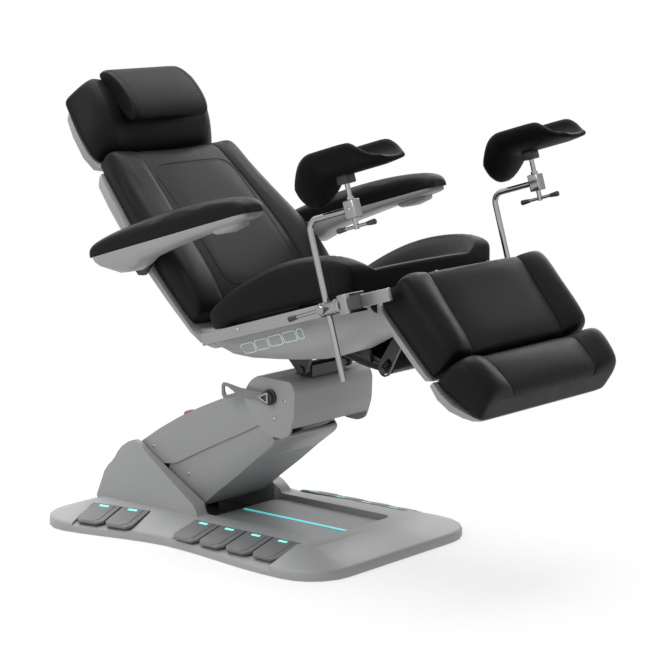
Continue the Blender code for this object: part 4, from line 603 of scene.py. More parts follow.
HUB_PROFILE = ((0.0, 0.0004), (0.0205, 0.0004), (0.0220, 0.0014), (0.0220, 0.0075), (0.0205, 0.0085),
               (0.0190, 0.0088), (0.0190, 0.0180), (0.0178, 0.0195), (0.0, 0.0195))
CAP_OUTLINE = [(0.021, -0.004), (0.023, 0.0), (0.021, 0.004), (-0.008, 0.0165), (-0.0125, 0.0145),
               (-0.0125, -0.0145), (-0.008, -0.0165)]
CAP_HOLE = 0.52
CAP_THICK = 0.004
CAP_SPOT = (0.004, 0, 0.0206)
CAP_EDGE = 0.0008
CHROME_TONE = (0.40, 0.40, 0.41, 1.0)
CHROME_STRETCH = (300.0, 300.0, 300.0)
# Painted shade on the chrome: its colour darkens towards its outline, down to a level reached at a given
# facing.
PAINTED_RIM_SHADE_END = 0.85
PAINTED_RIM_SHADE = 0.16
FACE_RIGHT = Matrix(((0, 0, -1, 0), (1, 0, 0, 0), (0, 1, 0, 0), (0, 0, 0, 1)))
coat("head_frame", black_paint)
dressed_copy("head_housing", shell_plastic, "head")
for side, word in SIDES:
    spots = [(side * HEAD_FACE, *spot) for spot in HEAD_SCREW_SPOTS]
    screws(f"head_screws_{word}", "head", spots, (side, 0.0, 0.0), HEAD_SCREW)
lever_place = Matrix.Translation((-HEAD_FACE, *LEVER_SPOT)) @ FACE_RIGHT
lever_paint = surfaced("lever_paint", MOULDED_GRAIN,
                       {"Tone": LEVER_TONE, "Spread": 0.12, "Grains": 900.0, "Gloss": 0.40}, 0.06)
plate_place = lever_place @ Matrix.Translation((0, 0, LEVER_OUT))
lever = new_piece("release_lever_plate", extruded(
    "release_lever_plate", [LEVER_OUTLINE, LEVER_LOOP], LEVER_THICK, plate_place, LEVER_EDGE), lever_paint)
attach(lever, "release_lever")
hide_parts("release_lever")
hub = new_piece("release_lever_hub", turned("release_lever_hub", HUB_PROFILE, lever_place), black_paint)
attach(hub, "release_lever")
chrome = surfaced("chrome", METAL_LINES, {
    "Tone": CHROME_TONE, "Stretch": CHROME_STRETCH, "Gloss": 0.14, "Smudge": 0.08}, 0.015, 1.0)
tree, shader = chrome.node_tree, chrome.node_tree.nodes["Principled BSDF"]
skin_color = shader.inputs["Base Color"].links[0].from_socket
# Painted shade: the chrome's colour is darkened towards its outline by the Layer Weight's facing, in place of
# darker reflections there.
rim = add(tree, "ShaderNodeLayerWeight", {"Blend": 0.5}).outputs["Facing"]
painted_rim_shade = brightened(tree, skin_color, ranged(tree, rim, 1.0, PAINTED_RIM_SHADE, PAINTED_RIM_SHADE_END))
tree.links.new(painted_rim_shade, shader.inputs["Base Color"])
cap_hole = [(x * CAP_HOLE, y * CAP_HOLE) for x, y in CAP_OUTLINE]
cap_place = lever_place @ Matrix.Translation(CAP_SPOT)
cap = new_piece("release_lever_cap", extruded(
    "release_lever_cap", [CAP_OUTLINE, cap_hole], CAP_THICK, cap_place, CAP_EDGE), chrome)
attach(cap, "release_lever")

# Seat: a black steel frame on the column head carries a grey moulded pan and two satin aluminium rails.
# Touch keys shine as thin outlines on the pan's right side, and a screw holds each rail near its rear end.
SEAT = on_hinge(-0.11732, 0.58492, -16.5)
RAIL_TONE = (0.31, 0.31, 0.306, 1.0)
RAIL_STRETCH = (900.0, 10.0, 900.0)
RAIL_FACE = 0.3461
RAIL_SCREW = (0.0062, 0.0026)
RAIL_SCREW_SPOT = (-0.135, 0.020)
TOUCH_TONE = (0.62, 0.84, 0.86, 1.0)
TOUCH_KEYS = ((-0.108, -0.0315, 0.046), (-0.160, -0.0300, 0.046), (-0.212, -0.0285, 0.046),
              (-0.264, -0.0275, 0.046), (-0.3025, -0.0265, 0.020))
TOUCH_HEIGHT = 0.026
TOUCH_CORNER = 0.006
TOUCH_LINE = 0.0007
BESIDE_SEAT = -0.5
BAR_ANGLE = 45.0
CORNER_LIMIT = 2.1
coat("seat_frame", black_paint)
pan = dressed_copy("seat_pan", shell_plastic, "seat")
rail_aluminium = surfaced("rail_aluminium", METAL_LINES,
                          {"Tone": RAIL_TONE, "Stretch": RAIL_STRETCH, "Gloss": 0.36}, 0.04, 1.0)
for side, word in SIDES:
    dressed_copy(f"rail_{word}", rail_aluminium, "seat")
    screws(f"rail_screws_{word}", "seat", [SEAT @ Vector((side * RAIL_FACE, *RAIL_SCREW_SPOT))],
           (side, 0.0, 0.0), RAIL_SCREW)


def bent_bar(name, points, radius, closed=False, rings=5):
    """A mesh of a round bar along points, with flat ends."""
    curve = bpy.data.curves.new(name, "CURVE")
    curve.dimensions = "3D"
    curve.bevel_depth = radius
    curve.bevel_resolution = rings
    curve.use_fill_caps = True
    add_line(curve, points, closed)
    return curve_mesh(curve, BAR_ANGLE)


def rounded(outline, radius, steps=4):
    """An outline whose corners are swept round."""
    corners = [Vector(corner) for corner in outline]
    swept = []
    for i, here in enumerate(corners):
        before, after = corners[i - 1] - here, corners[(i + 1) % len(corners)] - here
        start = here + before.normalized() * min(radius, before.length / CORNER_LIMIT)
        end = here + after.normalized() * min(radius, after.length / CORNER_LIMIT)
        for k in range(steps + 1):
            t = k / steps
            swept.append(tuple(start * (1 - t) ** 2 + here * (2 * t * (1 - t)) + end * t ** 2))
    return swept


def surface_of(piece):
    """A piece's faces, to cast rays at."""
    spots = [v.co for v in piece.data.vertices]
    return BVHTree.FromPolygons(spots, [p.vertices for p in piece.data.polygons])


touch_light = glowing("touch_light", TOUCH_TONE, 45.0, 0.8, 1.15, 0.35)
pan_surface = surface_of(pan)
outlines = []
for v, w, long in TOUCH_KEYS:
    line = rounded(rectangle(long, TOUCH_HEIGHT, (v, w)), TOUCH_CORNER)
    starts = [SEAT @ Vector((BESIDE_SEAT, a, b)) for a, b in line]
    hits = [pan_surface.ray_cast(start, Vector((1.0, 0.0, 0.0))) for start in starts]
    outlines.append(bent_bar("touch_key", [hit[0] for hit in hits], TOUCH_LINE, closed=True, rings=2))
touch_keys = joined("touch_key_outlines", outlines, touch_light)
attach(touch_keys, "seat")

# Seat cushion: moulded foam under sewn black leatherette, with two arched bolsters and drawn-in sides.
# The cover is stretched over the foam and stapled below, so it swells a little between its seams.
HIDE_TONE = (0.0080, 0.0080, 0.0083, 1.0)
THREAD_TONE = (0.020, 0.020, 0.021, 1.0)
FLANK = ((0.90, 0.0), (0.965, 0.0), (0.985, 0.25), (0.988, 0.62))
END_SHARES = (0.0, 0.35, 0.80)
FIRST_ROW = len(END_SHARES)
ROW_STOPS = 5
COLUMN_STOPS = 4
SEAM_CLEAR = 3.2
SEAM_PRESS = ((-2, 0.12), (-1, 0.55), (0, 1.0), (1, 0.55), (2, 0.12))
STAPLED_BAND = 0.008
LOOSER_BAND = 0.030
END_SLACK = 0.2
PINNED_BELOW = 0.02
STITCH_LIFT = 0.0003
STITCH_SPACING = 0.0085
PUFF_FRAMES = 20
PUFF_PRESSURE = 4.0
PUFF_QUALITY = 4
PUFF_LIMIT = 0.0045
SEAT_LOW = 0.036
SEAT_SHARES = ((1.00, 0.70, 0.0), (0.95, 0.95, 0.0), (0.86, 1.0, 0.0), (0.78, 0.80, 0.0), (0.70, 0.30, 0.0),
               (0.66, 0.05, 0.004), (0.58, 0.0, 0.0), (0.0, 0.0, -0.002))
SEAT_STATIONS = ((-0.505, 0.290, 0.086, 0.092, -0.24), (-0.503, 0.306, 0.098, 0.116, -0.24),
                 (-0.470, 0.313, 0.096, 0.146, -0.10), (-0.380, 0.314, 0.088, 0.166, 0.0),
                 (-0.260, 0.314, 0.082, 0.168, 0.0), (-0.130, 0.314, 0.078, 0.142, 0.0),
                 (-0.035, 0.310, 0.076, 0.108, 0.0), (-0.006, 0.306, 0.068, 0.088, 0.0),
                 (0.004, 0.292, 0.056, 0.062, 0.0))
SEAT_SEAMS = ((9.2, 0.10, 1.2, 7.0, 0.0035),)
SEAT_CROSS_SEAMS = ((2.15, 0.06, 2.0, 9.2, 0.0025), (2.15, 0.06, 12.8, 20.0, 0.0025))


def hide_group():
    """Leatherette: fine pebbles with slow folds and wear."""
    tree, given, made = new_group("pebbled_hide", (
        ("Tone", "NodeSocketColor", GREY), ("Pebbles", "NodeSocketFloat", 900.0),
        ("Gloss", "NodeSocketFloat", 0.4)))
    spot = spot_on(tree)
    cells = add(tree, "ShaderNodeTexVoronoi", {"Vector": spot, "Scale": given.outputs["Pebbles"]},
                feature="SMOOTH_F1")
    folds = noise(tree, spot, 28.0, 5.0)
    wear = noise(tree, spot, 3.0, 3.0)
    tone = brightened(tree, given.outputs["Tone"], ranged(tree, wear, 0.90, 1.1))
    gloss = raised(tree, given.outputs["Gloss"], swing(tree, folds), 0.15)
    height = raised(tree, cells.outputs["Distance"], folds, 0.4)
    put_out(tree, made, tone, gloss, height)
    return tree


PEBBLED_HIDE = hide_group()
black_hide = surfaced("black_hide", PEBBLED_HIDE,
                      {"Tone": HIDE_TONE, "Pebbles": 850.0, "Gloss": 0.42}, 0.10, specular=0.09)
thread = surfaced("thread", MOULDED_GRAIN,
                  {"Tone": THREAD_TONE, "Grains": 2500.0, "Gloss": 0.6}, 0.1, specular=0.2)


def pad_ring(v, half, low, centre, ridge, shares, lean=0.0, lean_from=None, middle=0.0, bow=0.0):
    """A cushion's section: flat below, drawn-in sides, then its crown from (share, lift, dip) stops."""
    crown = [(half * share, centre + (ridge - centre) * lift - dip) for share, lift, dip in shares]
    tall = crown[0][1] - low
    right = [(half * share, low + tall * lift) for share, lift in FLANK] + crown
    ring = right + [(-x, w) for x, w in reversed(right) if x > 0]
    upright = low if lean_from is None else lean_from
    return [(middle + x, v + lean * max(w - upright, 0.0) + bow * (1 - (x / half) ** 2), w) for x, w in ring]


def drawn_in(rings):
    """Rings with both ends closed by smaller copies of the last ones."""
    rings = [np.array(ring) for ring in rings]
    ends = [[ring.mean(0) + (ring - ring.mean(0)) * share for share in END_SHARES]
            for ring in (rings[0], rings[-1])]
    return np.array(ends[0] + rings + ends[1][::-1])


def spline(points, stops, closed):
    """Points of a cubic B-spline along the first axis, at stops counted in control points."""
    base = np.floor(stops).astype(int)
    t = (stops - base).reshape((-1,) + (1,) * (points.ndim - 1))
    weights = ((1 - t) ** 3, 3 * t ** 3 - 6 * t ** 2 + 4, -3 * t ** 3 + 3 * t ** 2 + 3 * t + 1, t ** 3)
    total = 0.0
    for k, weight in enumerate(weights):
        index = base + k - 1
        index = index % len(points) if closed else np.clip(index, 0, len(points) - 1)
        total = total + weight * points[index]
    return total / 6


def seamed_stops(last, fine, seams):
    """Even stops, with five close ones about each seam."""
    stops = np.arange(0.0, last, 1.0 / fine)
    for centre, step in seams:
        stops = stops[np.abs(stops - centre) > SEAM_CLEAR * step]
    close = [centre + k * step for centre, step in seams for k, _ in SEAM_PRESS]
    return np.sort(np.concatenate([stops, close]))


def placed(points, place):
    """Points of an array moved into a frame."""
    turn = np.array(place)
    return points @ turn[:3, :3].T + turn[:3, 3]


def grid_mesh(name, grid, slit=False):
    """A closed mesh over rows of rings: a fan at each end, or a seam where the ends are slits."""
    rows, count = grid.shape[:2]
    faces = []
    for r in range(rows - 1):
        for k in range(count):
            j = (k + 1) % count
            faces.append((r * count + k, r * count + j, (r + 1) * count + j, (r + 1) * count + k))
    points = grid.reshape(-1, 3).tolist()
    for start in (0, (rows - 1) * count):
        if slit:
            pairs = range(count // 2 - 1)
            faces += [(start + k, start + k + 1, start + count - 2 - k, start + count - 1 - k) for k in pairs]
        else:
            points.append(np.mean(points[start:start + count], axis=0).tolist())
            faces += [(start + k, start + (k + 1) % count, len(points) - 1) for k in range(count)]
    mesh = bpy.data.meshes.new(name)
    mesh.from_pydata(points, [], faces)
    shape = bmesh.new()
    shape.from_mesh(mesh)
    bmesh.ops.recalc_face_normals(shape, faces=shape.faces)
    if shape.calc_volume(signed=True) < 0:
        bmesh.ops.reverse_faces(shape, faces=shape.faces)
    shape.to_mesh(mesh)
    shape.free()
    mesh.shade_smooth()
    return mesh


def read_vectors(source, label):
    """An array of the vectors that a mesh holds for its points."""
    values = np.empty(len(source) * 3)
    source.foreach_get(label, values)
    return values.reshape(-1, 3)


def puffed(mesh, held):
    """How far a cover's points go in a short inflation, with the held ones pinned."""
    rest = read_vectors(mesh.vertices, "co")
    piece = bpy.data.objects.new("cover", mesh.copy())
    scene.collection.objects.link(piece)
    piece.vertex_groups.new(name="held").add([int(k) for k in np.nonzero(held)[0]], 1.0, "REPLACE")
    cover = piece.modifiers.new("cover", "CLOTH")
    cover.settings.vertex_group_mass = "held"
    cover.settings.use_pressure = True
    cover.settings.uniform_pressure_force = PUFF_PRESSURE
    cover.settings.effector_weights.gravity = 0.0
    cover.settings.quality = PUFF_QUALITY
    cover.point_cache.frame_end = PUFF_FRAMES
    for step in range(1, PUFF_FRAMES + 1):
        scene.frame_set(step)
    shown = piece.evaluated_get(bpy.context.evaluated_depsgraph_get())
    move = read_vectors(shown.data.vertices, "co") - rest
    loose = piece.data
    bpy.data.objects.remove(piece)
    bpy.data.meshes.remove(loose)
    scene.frame_set(1)
    size = np.linalg.norm(move, axis=1, keepdims=True)
    return move * np.minimum(1.0, PUFF_LIMIT / np.maximum(size, 1e-9))


def seam_cells(seam, rows, columns, crosses):
    """The grid cells of a seam's five close lines, each with its share of the seam's depth."""
    centre, step, first, last = seam[:4]
    beside, run = (rows, columns) if crosses else (columns, rows)
    inside = np.nonzero((run >= first) & (run <= last))[0]
    for k, share in SEAM_PRESS:
        line = np.full(len(inside), np.argmin(np.abs(beside - centre - k * step)))
        yield share, (line, inside) if crosses else (inside, line)


def upholstered(name, node, rings, place, body, low, seams=(), cross_seams=()):
    """A sewn cushion over section rings: swollen between its seams, which are pressed in.

    A seam is (column, step, first row, last row, depth) and is mirrored; a cross seam is
    (row, step, first column, last column, depth). It gives the piece and the stitch lines.
    """
    stack = drawn_in(rings)
    wide = len(rings[0])
    long_seams = [(c, step, first + FIRST_ROW, last + FIRST_ROW, deep)
                  for column, step, first, last, deep in seams for c in (column, wide - 1 - column)]
    short_seams = [(row + FIRST_ROW, *rest) for row, *rest in cross_seams]
    columns = seamed_stops(wide, COLUMN_STOPS, [seam[:2] for seam in long_seams])
    rows = seamed_stops(len(stack) - 1, ROW_STOPS, [seam[:2] for seam in short_seams])
    local = spline(spline(stack, rows, False).swapaxes(0, 1), columns, True).swapaxes(0, 1)
    grid = placed(local, place)
    mesh = grid_mesh(name, grid)
    normals = read_vectors(mesh.vertex_normals, "vector")
    depth = np.zeros(grid.shape[:2])
    taut = np.clip((local[:, :, 2] - low - STAPLED_BAND) / LOOSER_BAND, 0.0, 1.0)
    taut *= np.clip(np.minimum(rows, len(stack) - 1 - rows) - FIRST_ROW + END_SLACK, 0.0, 1.0)[:, None]
    lines = []
    for crosses, group in ((False, long_seams), (True, short_seams)):
        for seam in group:
            for share, cells in seam_cells(seam, rows, columns, crosses):
                depth[cells] = np.maximum(depth[cells], share * seam[4])
                taut[cells] *= 1.0 - share
                if share == SEAM_PRESS[0][1]:
                    lines.append(list(zip(*cells)))
    taut = np.concatenate([taut.ravel(), [0.0, 0.0]])
    points = read_vectors(mesh.vertices, "co") + puffed(mesh, taut < PINNED_BELOW) * taut[:, None]
    points[:depth.size] -= normals[:depth.size] * depth.reshape(-1, 1)
    mesh.vertices.foreach_set("co", points.ravel())
    mesh.update()
    piece = new_piece(name, mesh, black_hide)
    smoothing = piece.modifiers.new("smooth", "SUBSURF")
    smoothing.levels = 1
    smoothing.render_levels = 1
    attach(piece, body)
    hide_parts(node)
    lifted = points + normals * STITCH_LIFT
    return piece, [[lifted[r * grid.shape[1] + c] for r, c in line] for line in lines]


def stitch_tree():
    """Geometry Nodes that lay short stitches along lines of edges."""
    tree, given, made = growth_tree("stitch_row", "Lines", (
        ("Spacing", 0.008), ("Length", 0.005), ("Radius", 0.0007)), "Stitches")
    curve = add(tree, "GeometryNodeMeshToCurve", {"Mesh": given.outputs["Lines"]})
    even = add(tree, "GeometryNodeResampleCurve", {
        "Curve": curve.outputs[0], "Length": given.outputs["Spacing"]}, mode="LENGTH")
    half = add(tree, "ShaderNodeMath", {0: given.outputs["Length"], 1: 0.5}, operation="MULTIPLY")
    size = add(tree, "ShaderNodeCombineXYZ", {
        "X": given.outputs["Radius"], "Y": given.outputs["Radius"], "Z": half.outputs[0]})
    bead = add(tree, "GeometryNodeMeshUVSphere", {"Segments": 8, "Rings": 6, "Radius": 1.0})
    stitch = add(tree, "GeometryNodeTransform", {"Geometry": bead.outputs["Mesh"], "Scale": size.outputs[0]})
    along = add(tree, "GeometryNodeInputTangent")
    set_out(tree, made, even.outputs[0], stitch.outputs[0], along.outputs[0], thread)
    return tree


STITCHES = stitch_tree()


def sewn(name, body, lines):
    """Rows of stitches along the lines of one cushion."""
    points = [spot for line in lines for spot in line]
    edges = []
    for line in lines:
        start = edges[-1][1] + 1 if edges else 0
        edges += [(start + k, start + k + 1) for k in range(len(line) - 1)]
    piece = grown(name, STITCHES, points, thread, None, edges, spacing=STITCH_SPACING)
    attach(piece, body)


seat_rings = [pad_ring(v, half, SEAT_LOW, centre, ridge, SEAT_SHARES, lean)
              for v, half, centre, ridge, lean in SEAT_STATIONS]
_, seat_lines = upholstered("seat_pad", "seat_cushion", seat_rings, SEAT, "seat", SEAT_LOW,
                            SEAT_SEAMS, SEAT_CROSS_SEAMS)
sewn("seat_stitches", "seat", seat_lines)

# Back: a grey rounded shell, hinged behind the seat, with an upholstered pad that has raised wings.
# A thin welt and a row of stitches go round the pad's centre panel.
BACK = on_hinge(-0.09396, 0.58634, 45.0)
BACK_LOW = -0.022
BACK_LENGTH = 0.645
BACK_SHARES = ((1.00, 1.0, 0.020), (0.975, 1.0, 0.004), (0.90, 1.0, 0.0), (0.77, 0.75, 0.0),
               (0.66, 0.45, 0.0), (0.635, 0.30, 0.006), (0.58, 0.20, 0.0), (0.0, 0.0, 0.0))
BACK_STATIONS = ((0.115, 0.286, 0.012, 0.016, 0.0), (0.130, 0.298, 0.034, 0.042, 0.0),
                 (0.217, 0.302, 0.052, 0.072, 0.0), (0.388, 0.300, 0.061, 0.082, 0.0),
                 (0.574, 0.290, 0.068, 0.074, 0.0), (0.760, 0.272, 0.071, 0.064, 0.0),
                 (0.936, 0.255, 0.068, 0.062, -0.016), (0.986, 0.249, 0.058, 0.056, -0.022),
                 (1.000, 0.240, 0.034, 0.034, -0.022))
BACK_SEAMS = ((8.9, 0.11, 1.0, 7.2, 0.0030),)
PANEL_HALF = 0.158
PANEL_ENDS = (0.135, 0.553)
PANEL_CORNER = 0.052
PANEL_CORNER_STEPS = 8
PANEL_STEP = 0.012
PANEL_STITCH_INSET = 0.006
WELT = 0.0012
ABOVE_BACK = 0.3
dressed_copy("back_shell", shell_plastic, "back")
back_rings = [pad_ring(share * BACK_LENGTH, half, BACK_LOW, centre, ridge, BACK_SHARES, bow=bow)
              for share, half, centre, ridge, bow in BACK_STATIONS]
back_pad, _ = upholstered("back_pad", "back_cushion", back_rings, BACK, "back", BACK_LOW, BACK_SEAMS)
back_surface = surface_of(back_pad)


def panel_line(inset):
    """A line on the back pad along its centre panel's edge, set in by a distance."""
    half, low, high = PANEL_HALF - inset, PANEL_ENDS[0] + inset, PANEL_ENDS[1] - inset
    corners = [(-half, low), (half, low), (half, high), (-half, high)]
    outline = rounded(corners, PANEL_CORNER, PANEL_CORNER_STEPS)
    spots = []
    for start, end in zip(outline, outline[1:] + outline[:1]):
        steps = max(1, round(math.dist(start, end) / PANEL_STEP))
        spots += [Vector(start).lerp(Vector(end), k / steps) for k in range(steps)]
    inward = BACK.to_3x3() @ Vector((0.0, 0.0, -1.0))
    return [back_surface.ray_cast(BACK @ Vector((*spot, ABOVE_BACK)), inward)[0] for spot in spots]


welt_mesh = bent_bar("back_panel_welt", panel_line(0.0), WELT, closed=True, rings=2)
welt = new_piece("back_panel_welt", welt_mesh, black_hide)
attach(welt, "back")
sewn("back_stitches", "back", [panel_line(PANEL_STITCH_INSET)])

# Headrest: a shell on two steel stays, a scooped cushion with flat side panels, and a half-round neck pillow.
# The pillow's flat ends are sewn in with a fine seam.
HEADREST = on_hinge(0.38476, 1.00424, 55.0)
STEEL_TONE = (0.30, 0.30, 0.30, 1.0)
HEADREST_LOW = 0.012
HEADREST_SHARES = ((0.975, 1.0, 0.70), (0.88, 1.0, 0.22), (0.785, 1.0, 0.0), (0.70, 0.80, 0.0),
                   (0.61, 0.25, 0.0), (0.57, 0.10, 0.0), (0.50, 0.0, 0.0), (0.0, 0.0, 0.0))
HEADREST_STATIONS = ((0.021, 0.222, 0.044, 0.046, 0.42), (0.028, 0.240, 0.066, 0.066, 0.42),
                     (0.062, 0.254, 0.086, 0.088, 0.38), (0.110, 0.258, 0.098, 0.100, 0.16),
                     (0.164, 0.258, 0.102, 0.112, 0.14), (0.215, 0.256, 0.096, 0.106, 0.28),
                     (0.227, 0.247, 0.082, 0.093, 0.29))
HEADREST_SEAMS = ((6.0, 0.10, 0.6, 5.4, 0.0012),)
PILLOW_HALF = 0.150
PILLOW_V = 0.174
PILLOW_SEAT = 0.0970
PILLOW_SIDE = 0.012
PILLOW_SPAN = 0.097
PILLOW_CROWN = 0.047
PILLOW_ROUND = 0.8
PILLOW_FOOT = 0.9
PILLOW_SLOPE = 0.19
PILLOW_STEPS = 10
PILLOW_STATIONS = ((-1.0, 0.90), (-0.96, 1.0), (-0.5, 1.0), (0.0, 1.0), (0.5, 1.0), (0.96, 1.0), (1.0, 0.90))
PILLOW_SEAMS = ((1.0, 0.05, 0.0, 12.0, 0.0010), (5.0, 0.05, 0.0, 12.0, 0.0010))
frame_steel = surfaced("frame_steel", METAL_LINES, {"Tone": STEEL_TONE, "Gloss": 0.38}, 0.05, 1.0)
coat("headrest_bracket", frame_steel)
dressed_copy("headrest_shell", shell_plastic, "headrest")


def headrest_ring(v, half, centre, ridge, lean):
    """A section of the headrest, whose side panels fall by a share of its height."""
    shares = [(share, lift, dip * (ridge - HEADREST_LOW)) for share, lift, dip in HEADREST_SHARES]
    return pad_ring(v, half, HEADREST_LOW, centre, ridge, shares, lean)


def pillow_ring(x, share):
    """A half-round section across the pillow, smaller towards its ends."""
    span, crown = PILLOW_SPAN * share, PILLOW_CROWN * share
    turns = [math.pi * k / PILLOW_STEPS for k in range(PILLOW_STEPS + 1)]
    ring = [(-span * math.cos(a), PILLOW_SIDE + crown * abs(math.sin(a)) ** PILLOW_ROUND) for a in turns]
    ring += [(span * PILLOW_FOOT, 0.0), (-span * PILLOW_FOOT, 0.0)]
    return [(x * PILLOW_HALF, PILLOW_V + along, PILLOW_SEAT + rise - PILLOW_SLOPE * along)
            for along, rise in ring]


headrest_rings = [headrest_ring(*station) for station in HEADREST_STATIONS]
upholstered("headrest_pad", "headrest_cushion", headrest_rings, HEADREST, "headrest", HEADREST_LOW,
            HEADREST_SEAMS)
pillow_rings = [pillow_ring(x, share) for x, share in PILLOW_STATIONS]
_, pillow_lines = upholstered("headrest_pillow_pad", "headrest_pillow", pillow_rings, HEADREST, "headrest",
                              PILLOW_SEAT - PILLOW_SIDE, cross_seams=PILLOW_SEAMS)
sewn("pillow_stitches", "headrest", pillow_lines)

# Armrests: grey moulded troughs with a control paddle below, on black brackets at the sides of the back.
# Each carries a long soft pad in a plain leatherette cover.
ARM = on_hinge(0.11959, 0.79989, -16.5)
ARM_X = 0.386
ARM_HALF = 0.044
ARM_SEAM = 0.028
ARM_SHARES = ((1.00, 0.0, 0.018), (0.95, 0.0, 0.006), (0.70, 1.0, 0.0), (0.35, 1.0, -0.003),
              (0.0, 1.0, -0.004))
ARM_STATIONS = ((-0.496, 0.66, 0.044), (-0.488, 0.90, 0.058), (-0.462, 1.02, 0.070), (-0.400, 1.04, 0.080),
                (-0.310, 1.04, 0.087), (-0.200, 1.03, 0.088), (-0.045, 1.02, 0.081), (0.060, 1.02, 0.070),
                (0.098, 0.95, 0.058), (0.108, 0.72, 0.046))
for side, word in SIDES:
    dressed_copy(f"arm_bracket_{word}", black_paint, "back")
    dressed_copy(f"arm_shell_{word}", shell_plastic, f"arm_{word}")
    arm_rings = [pad_ring(v, ARM_HALF * share, ARM_SEAM, top, top, ARM_SHARES, middle=side * ARM_X)
                 for v, share, top in ARM_STATIONS]
    upholstered(f"arm_cover_{word}", f"arm_pad_{word}", arm_rings, ARM, f"arm_{word}", ARM_SEAM)

# Leg rest: a steel shaft with two black slotted levers and a push rod moves a shell with its cushion.
# The cushion has side bolsters, set off by stitched seams.
LEG = on_hinge(-0.71272, 0.80717, 45.5)
LEG_LOW = -0.066
LEG_UPRIGHT = 0.0125
LEG_SHARES = ((1.00, 0.10, 0.018), (0.965, 0.70, 0.004), (0.87, 1.0, 0.0), (0.76, 0.65, 0.0),
              (0.66, 0.15, 0.0), (0.64, 0.0, 0.004), (0.59, 0.05, 0.0), (0.0, 0.0, -0.003))
LEG_STATIONS = ((-0.0150, 0.292, 0.018, 0.022, 0.34), (-0.0155, 0.302, 0.042, 0.050, 0.34),
                (-0.034, 0.307, 0.048, 0.062, 0.10), (-0.100, 0.307, 0.036, 0.062, 0.0),
                (-0.224, 0.307, 0.028, 0.058, 0.0), (-0.250, 0.304, 0.016, 0.044, 0.0),
                (-0.256, 0.294, -0.008, 0.004, 0.0))
LEG_SEAMS = ((8.9, 0.10, 0.8, 5.4, 0.0035),)
dressed_copy("leg_frame", black_paint, "leg")
dressed_copy("leg_push_rod", black_paint, "push_rod")
dressed_copy("leg_shell", shell_plastic, "leg")
leg_rings = [pad_ring(v, half, LEG_LOW, centre, ridge, LEG_SHARES, lean, LEG_UPRIGHT)
             for v, half, centre, ridge, lean in LEG_STATIONS]
_, leg_lines = upholstered("leg_rest_pad", "leg_cushion", leg_rings, LEG, "leg", LEG_LOW, LEG_SEAMS)
sewn("leg_stitches", "leg", leg_lines)

# Foot section: a shorter cushion, sewn like the leg rest's, on its own grey shell.
# It slides out on two steel rods, and its cushion gets shallower towards the foot end.
FOOT_LOW = -0.064
FOOT_STAPLED = 0.01
FOOT_RISE = 0.028
FOOT_RISE_FROM = -0.310
FOOT_RISE_LENGTH = 0.104
FOOT_STATIONS = ((-0.264, 0.292, 0.006, 0.016, 0.0), (-0.268, 0.303, 0.030, 0.050, 0.0),
                 (-0.292, 0.306, 0.042, 0.068, 0.0), (-0.386, 0.293, 0.047, 0.064, 0.16),
                 (-0.408, 0.286, 0.040, 0.052, 0.26), (-0.414, 0.276, 0.020, 0.026, 0.28))
FOOT_SEAMS = ((8.9, 0.10, 0.8, 4.4, 0.0030),)


def eased(share):
    """A smooth step from 0 to 1."""
    share = min(max(share, 0.0), 1.0)
    return share * share * (3 - 2 * share)


def foot_ring(v, half, centre, ridge, lean):
    """A section of the foot cushion, shallower towards its end."""
    low = FOOT_LOW + FOOT_RISE * eased((FOOT_RISE_FROM - v) / FOOT_RISE_LENGTH)
    return pad_ring(v, half, low, centre, ridge, LEG_SHARES, lean)


coat("foot_slide", frame_steel)
dressed_copy("foot_shell", shell_plastic, "foot")
foot_rings = [foot_ring(*station) for station in FOOT_STATIONS]
_, foot_lines = upholstered("foot_rest_pad", "foot_cushion", foot_rings, LEG, "foot", FOOT_LOW + FOOT_STAPLED,
                            FOOT_SEAMS)
sewn("foot_stitches", "foot", foot_lines)

# Rail clamps: a chrome jaw hooks over each rail and carries a grooved barrel for the stirrup's post.
# A hub on the barrel turns with a lever, which has a dark rubber tip.
RUBBER_TONE = (0.02, 0.02, 0.02, 1.0)
POST_X = 0.392
POST_V = -0.497
RAIL_INNER = 0.334
RAIL_OUTER = 0.346
RAIL_HEIGHT = 0.033
RAIL_MIDDLE = 0.0165
JAW_AHEAD = 0.046
JAW_V = POST_V - JAW_AHEAD
JAW_LONG = 0.028
JAW_HOOK = 0.006
JAW_WALL = 0.009
JAW_BEYOND = 0.012
JAW_GAP = 0.0004
JAW_ROUND = 0.0025
JAW_EDGE = 0.0014
BARREL = 0.019
BARREL_GROOVE = 0.0172
BARREL_END = 0.0165
BARREL_BACK = 0.002
BARREL_PROFILE = ((0.0, 0.0), (BARREL_END, 0.0), (BARREL, 0.002), (BARREL, 0.010), (BARREL_GROOVE, 0.0112),
                  (BARREL_GROOVE, 0.0148), (BARREL, 0.016), (BARREL, 0.052), (BARREL_GROOVE, 0.0532),
                  (BARREL_GROOVE, 0.0568), (BARREL, 0.058), (BARREL, 0.0655), (BARREL_END, 0.0675),
                  (0.0, 0.0675))
CLAMP_HUB_GAP = 0.0003
CLAMP_HUB_X = POST_X + BARREL + CLAMP_HUB_GAP
CLAMP_HUB_PROFILE = ((0.0, 0.0), (0.0105, 0.0), (0.011, 0.0010), (0.011, 0.0120), (0.0095, 0.0138),
                     (0.0, 0.0138))
CLAMP_LEVER = Vector((0, 0.108, -0.004))
CLAMP_LEVER_OUT = 0.007
CLAMP_LEVER_RADIUS = 0.0048
CLAMP_TIP_OVERLAP = 0.026
CLAMP_TIP = (0.0056, 0.0075, 0.028)
tip_rubber = surfaced("tip_rubber", MOULDED_GRAIN,
                      {"Tone": RUBBER_TONE, "Spread": 0.3, "Grains": 800.0, "Gloss": 0.5}, 0.1)


def on_seat(x, v, w):
    """A point given in the seat's frame."""
    return SEAT @ Vector((x, v, w))


def seat_frame_at(x, v, w):
    """The seat's frame moved to a point."""
    return SEAT @ Matrix.Translation((x, v, w))


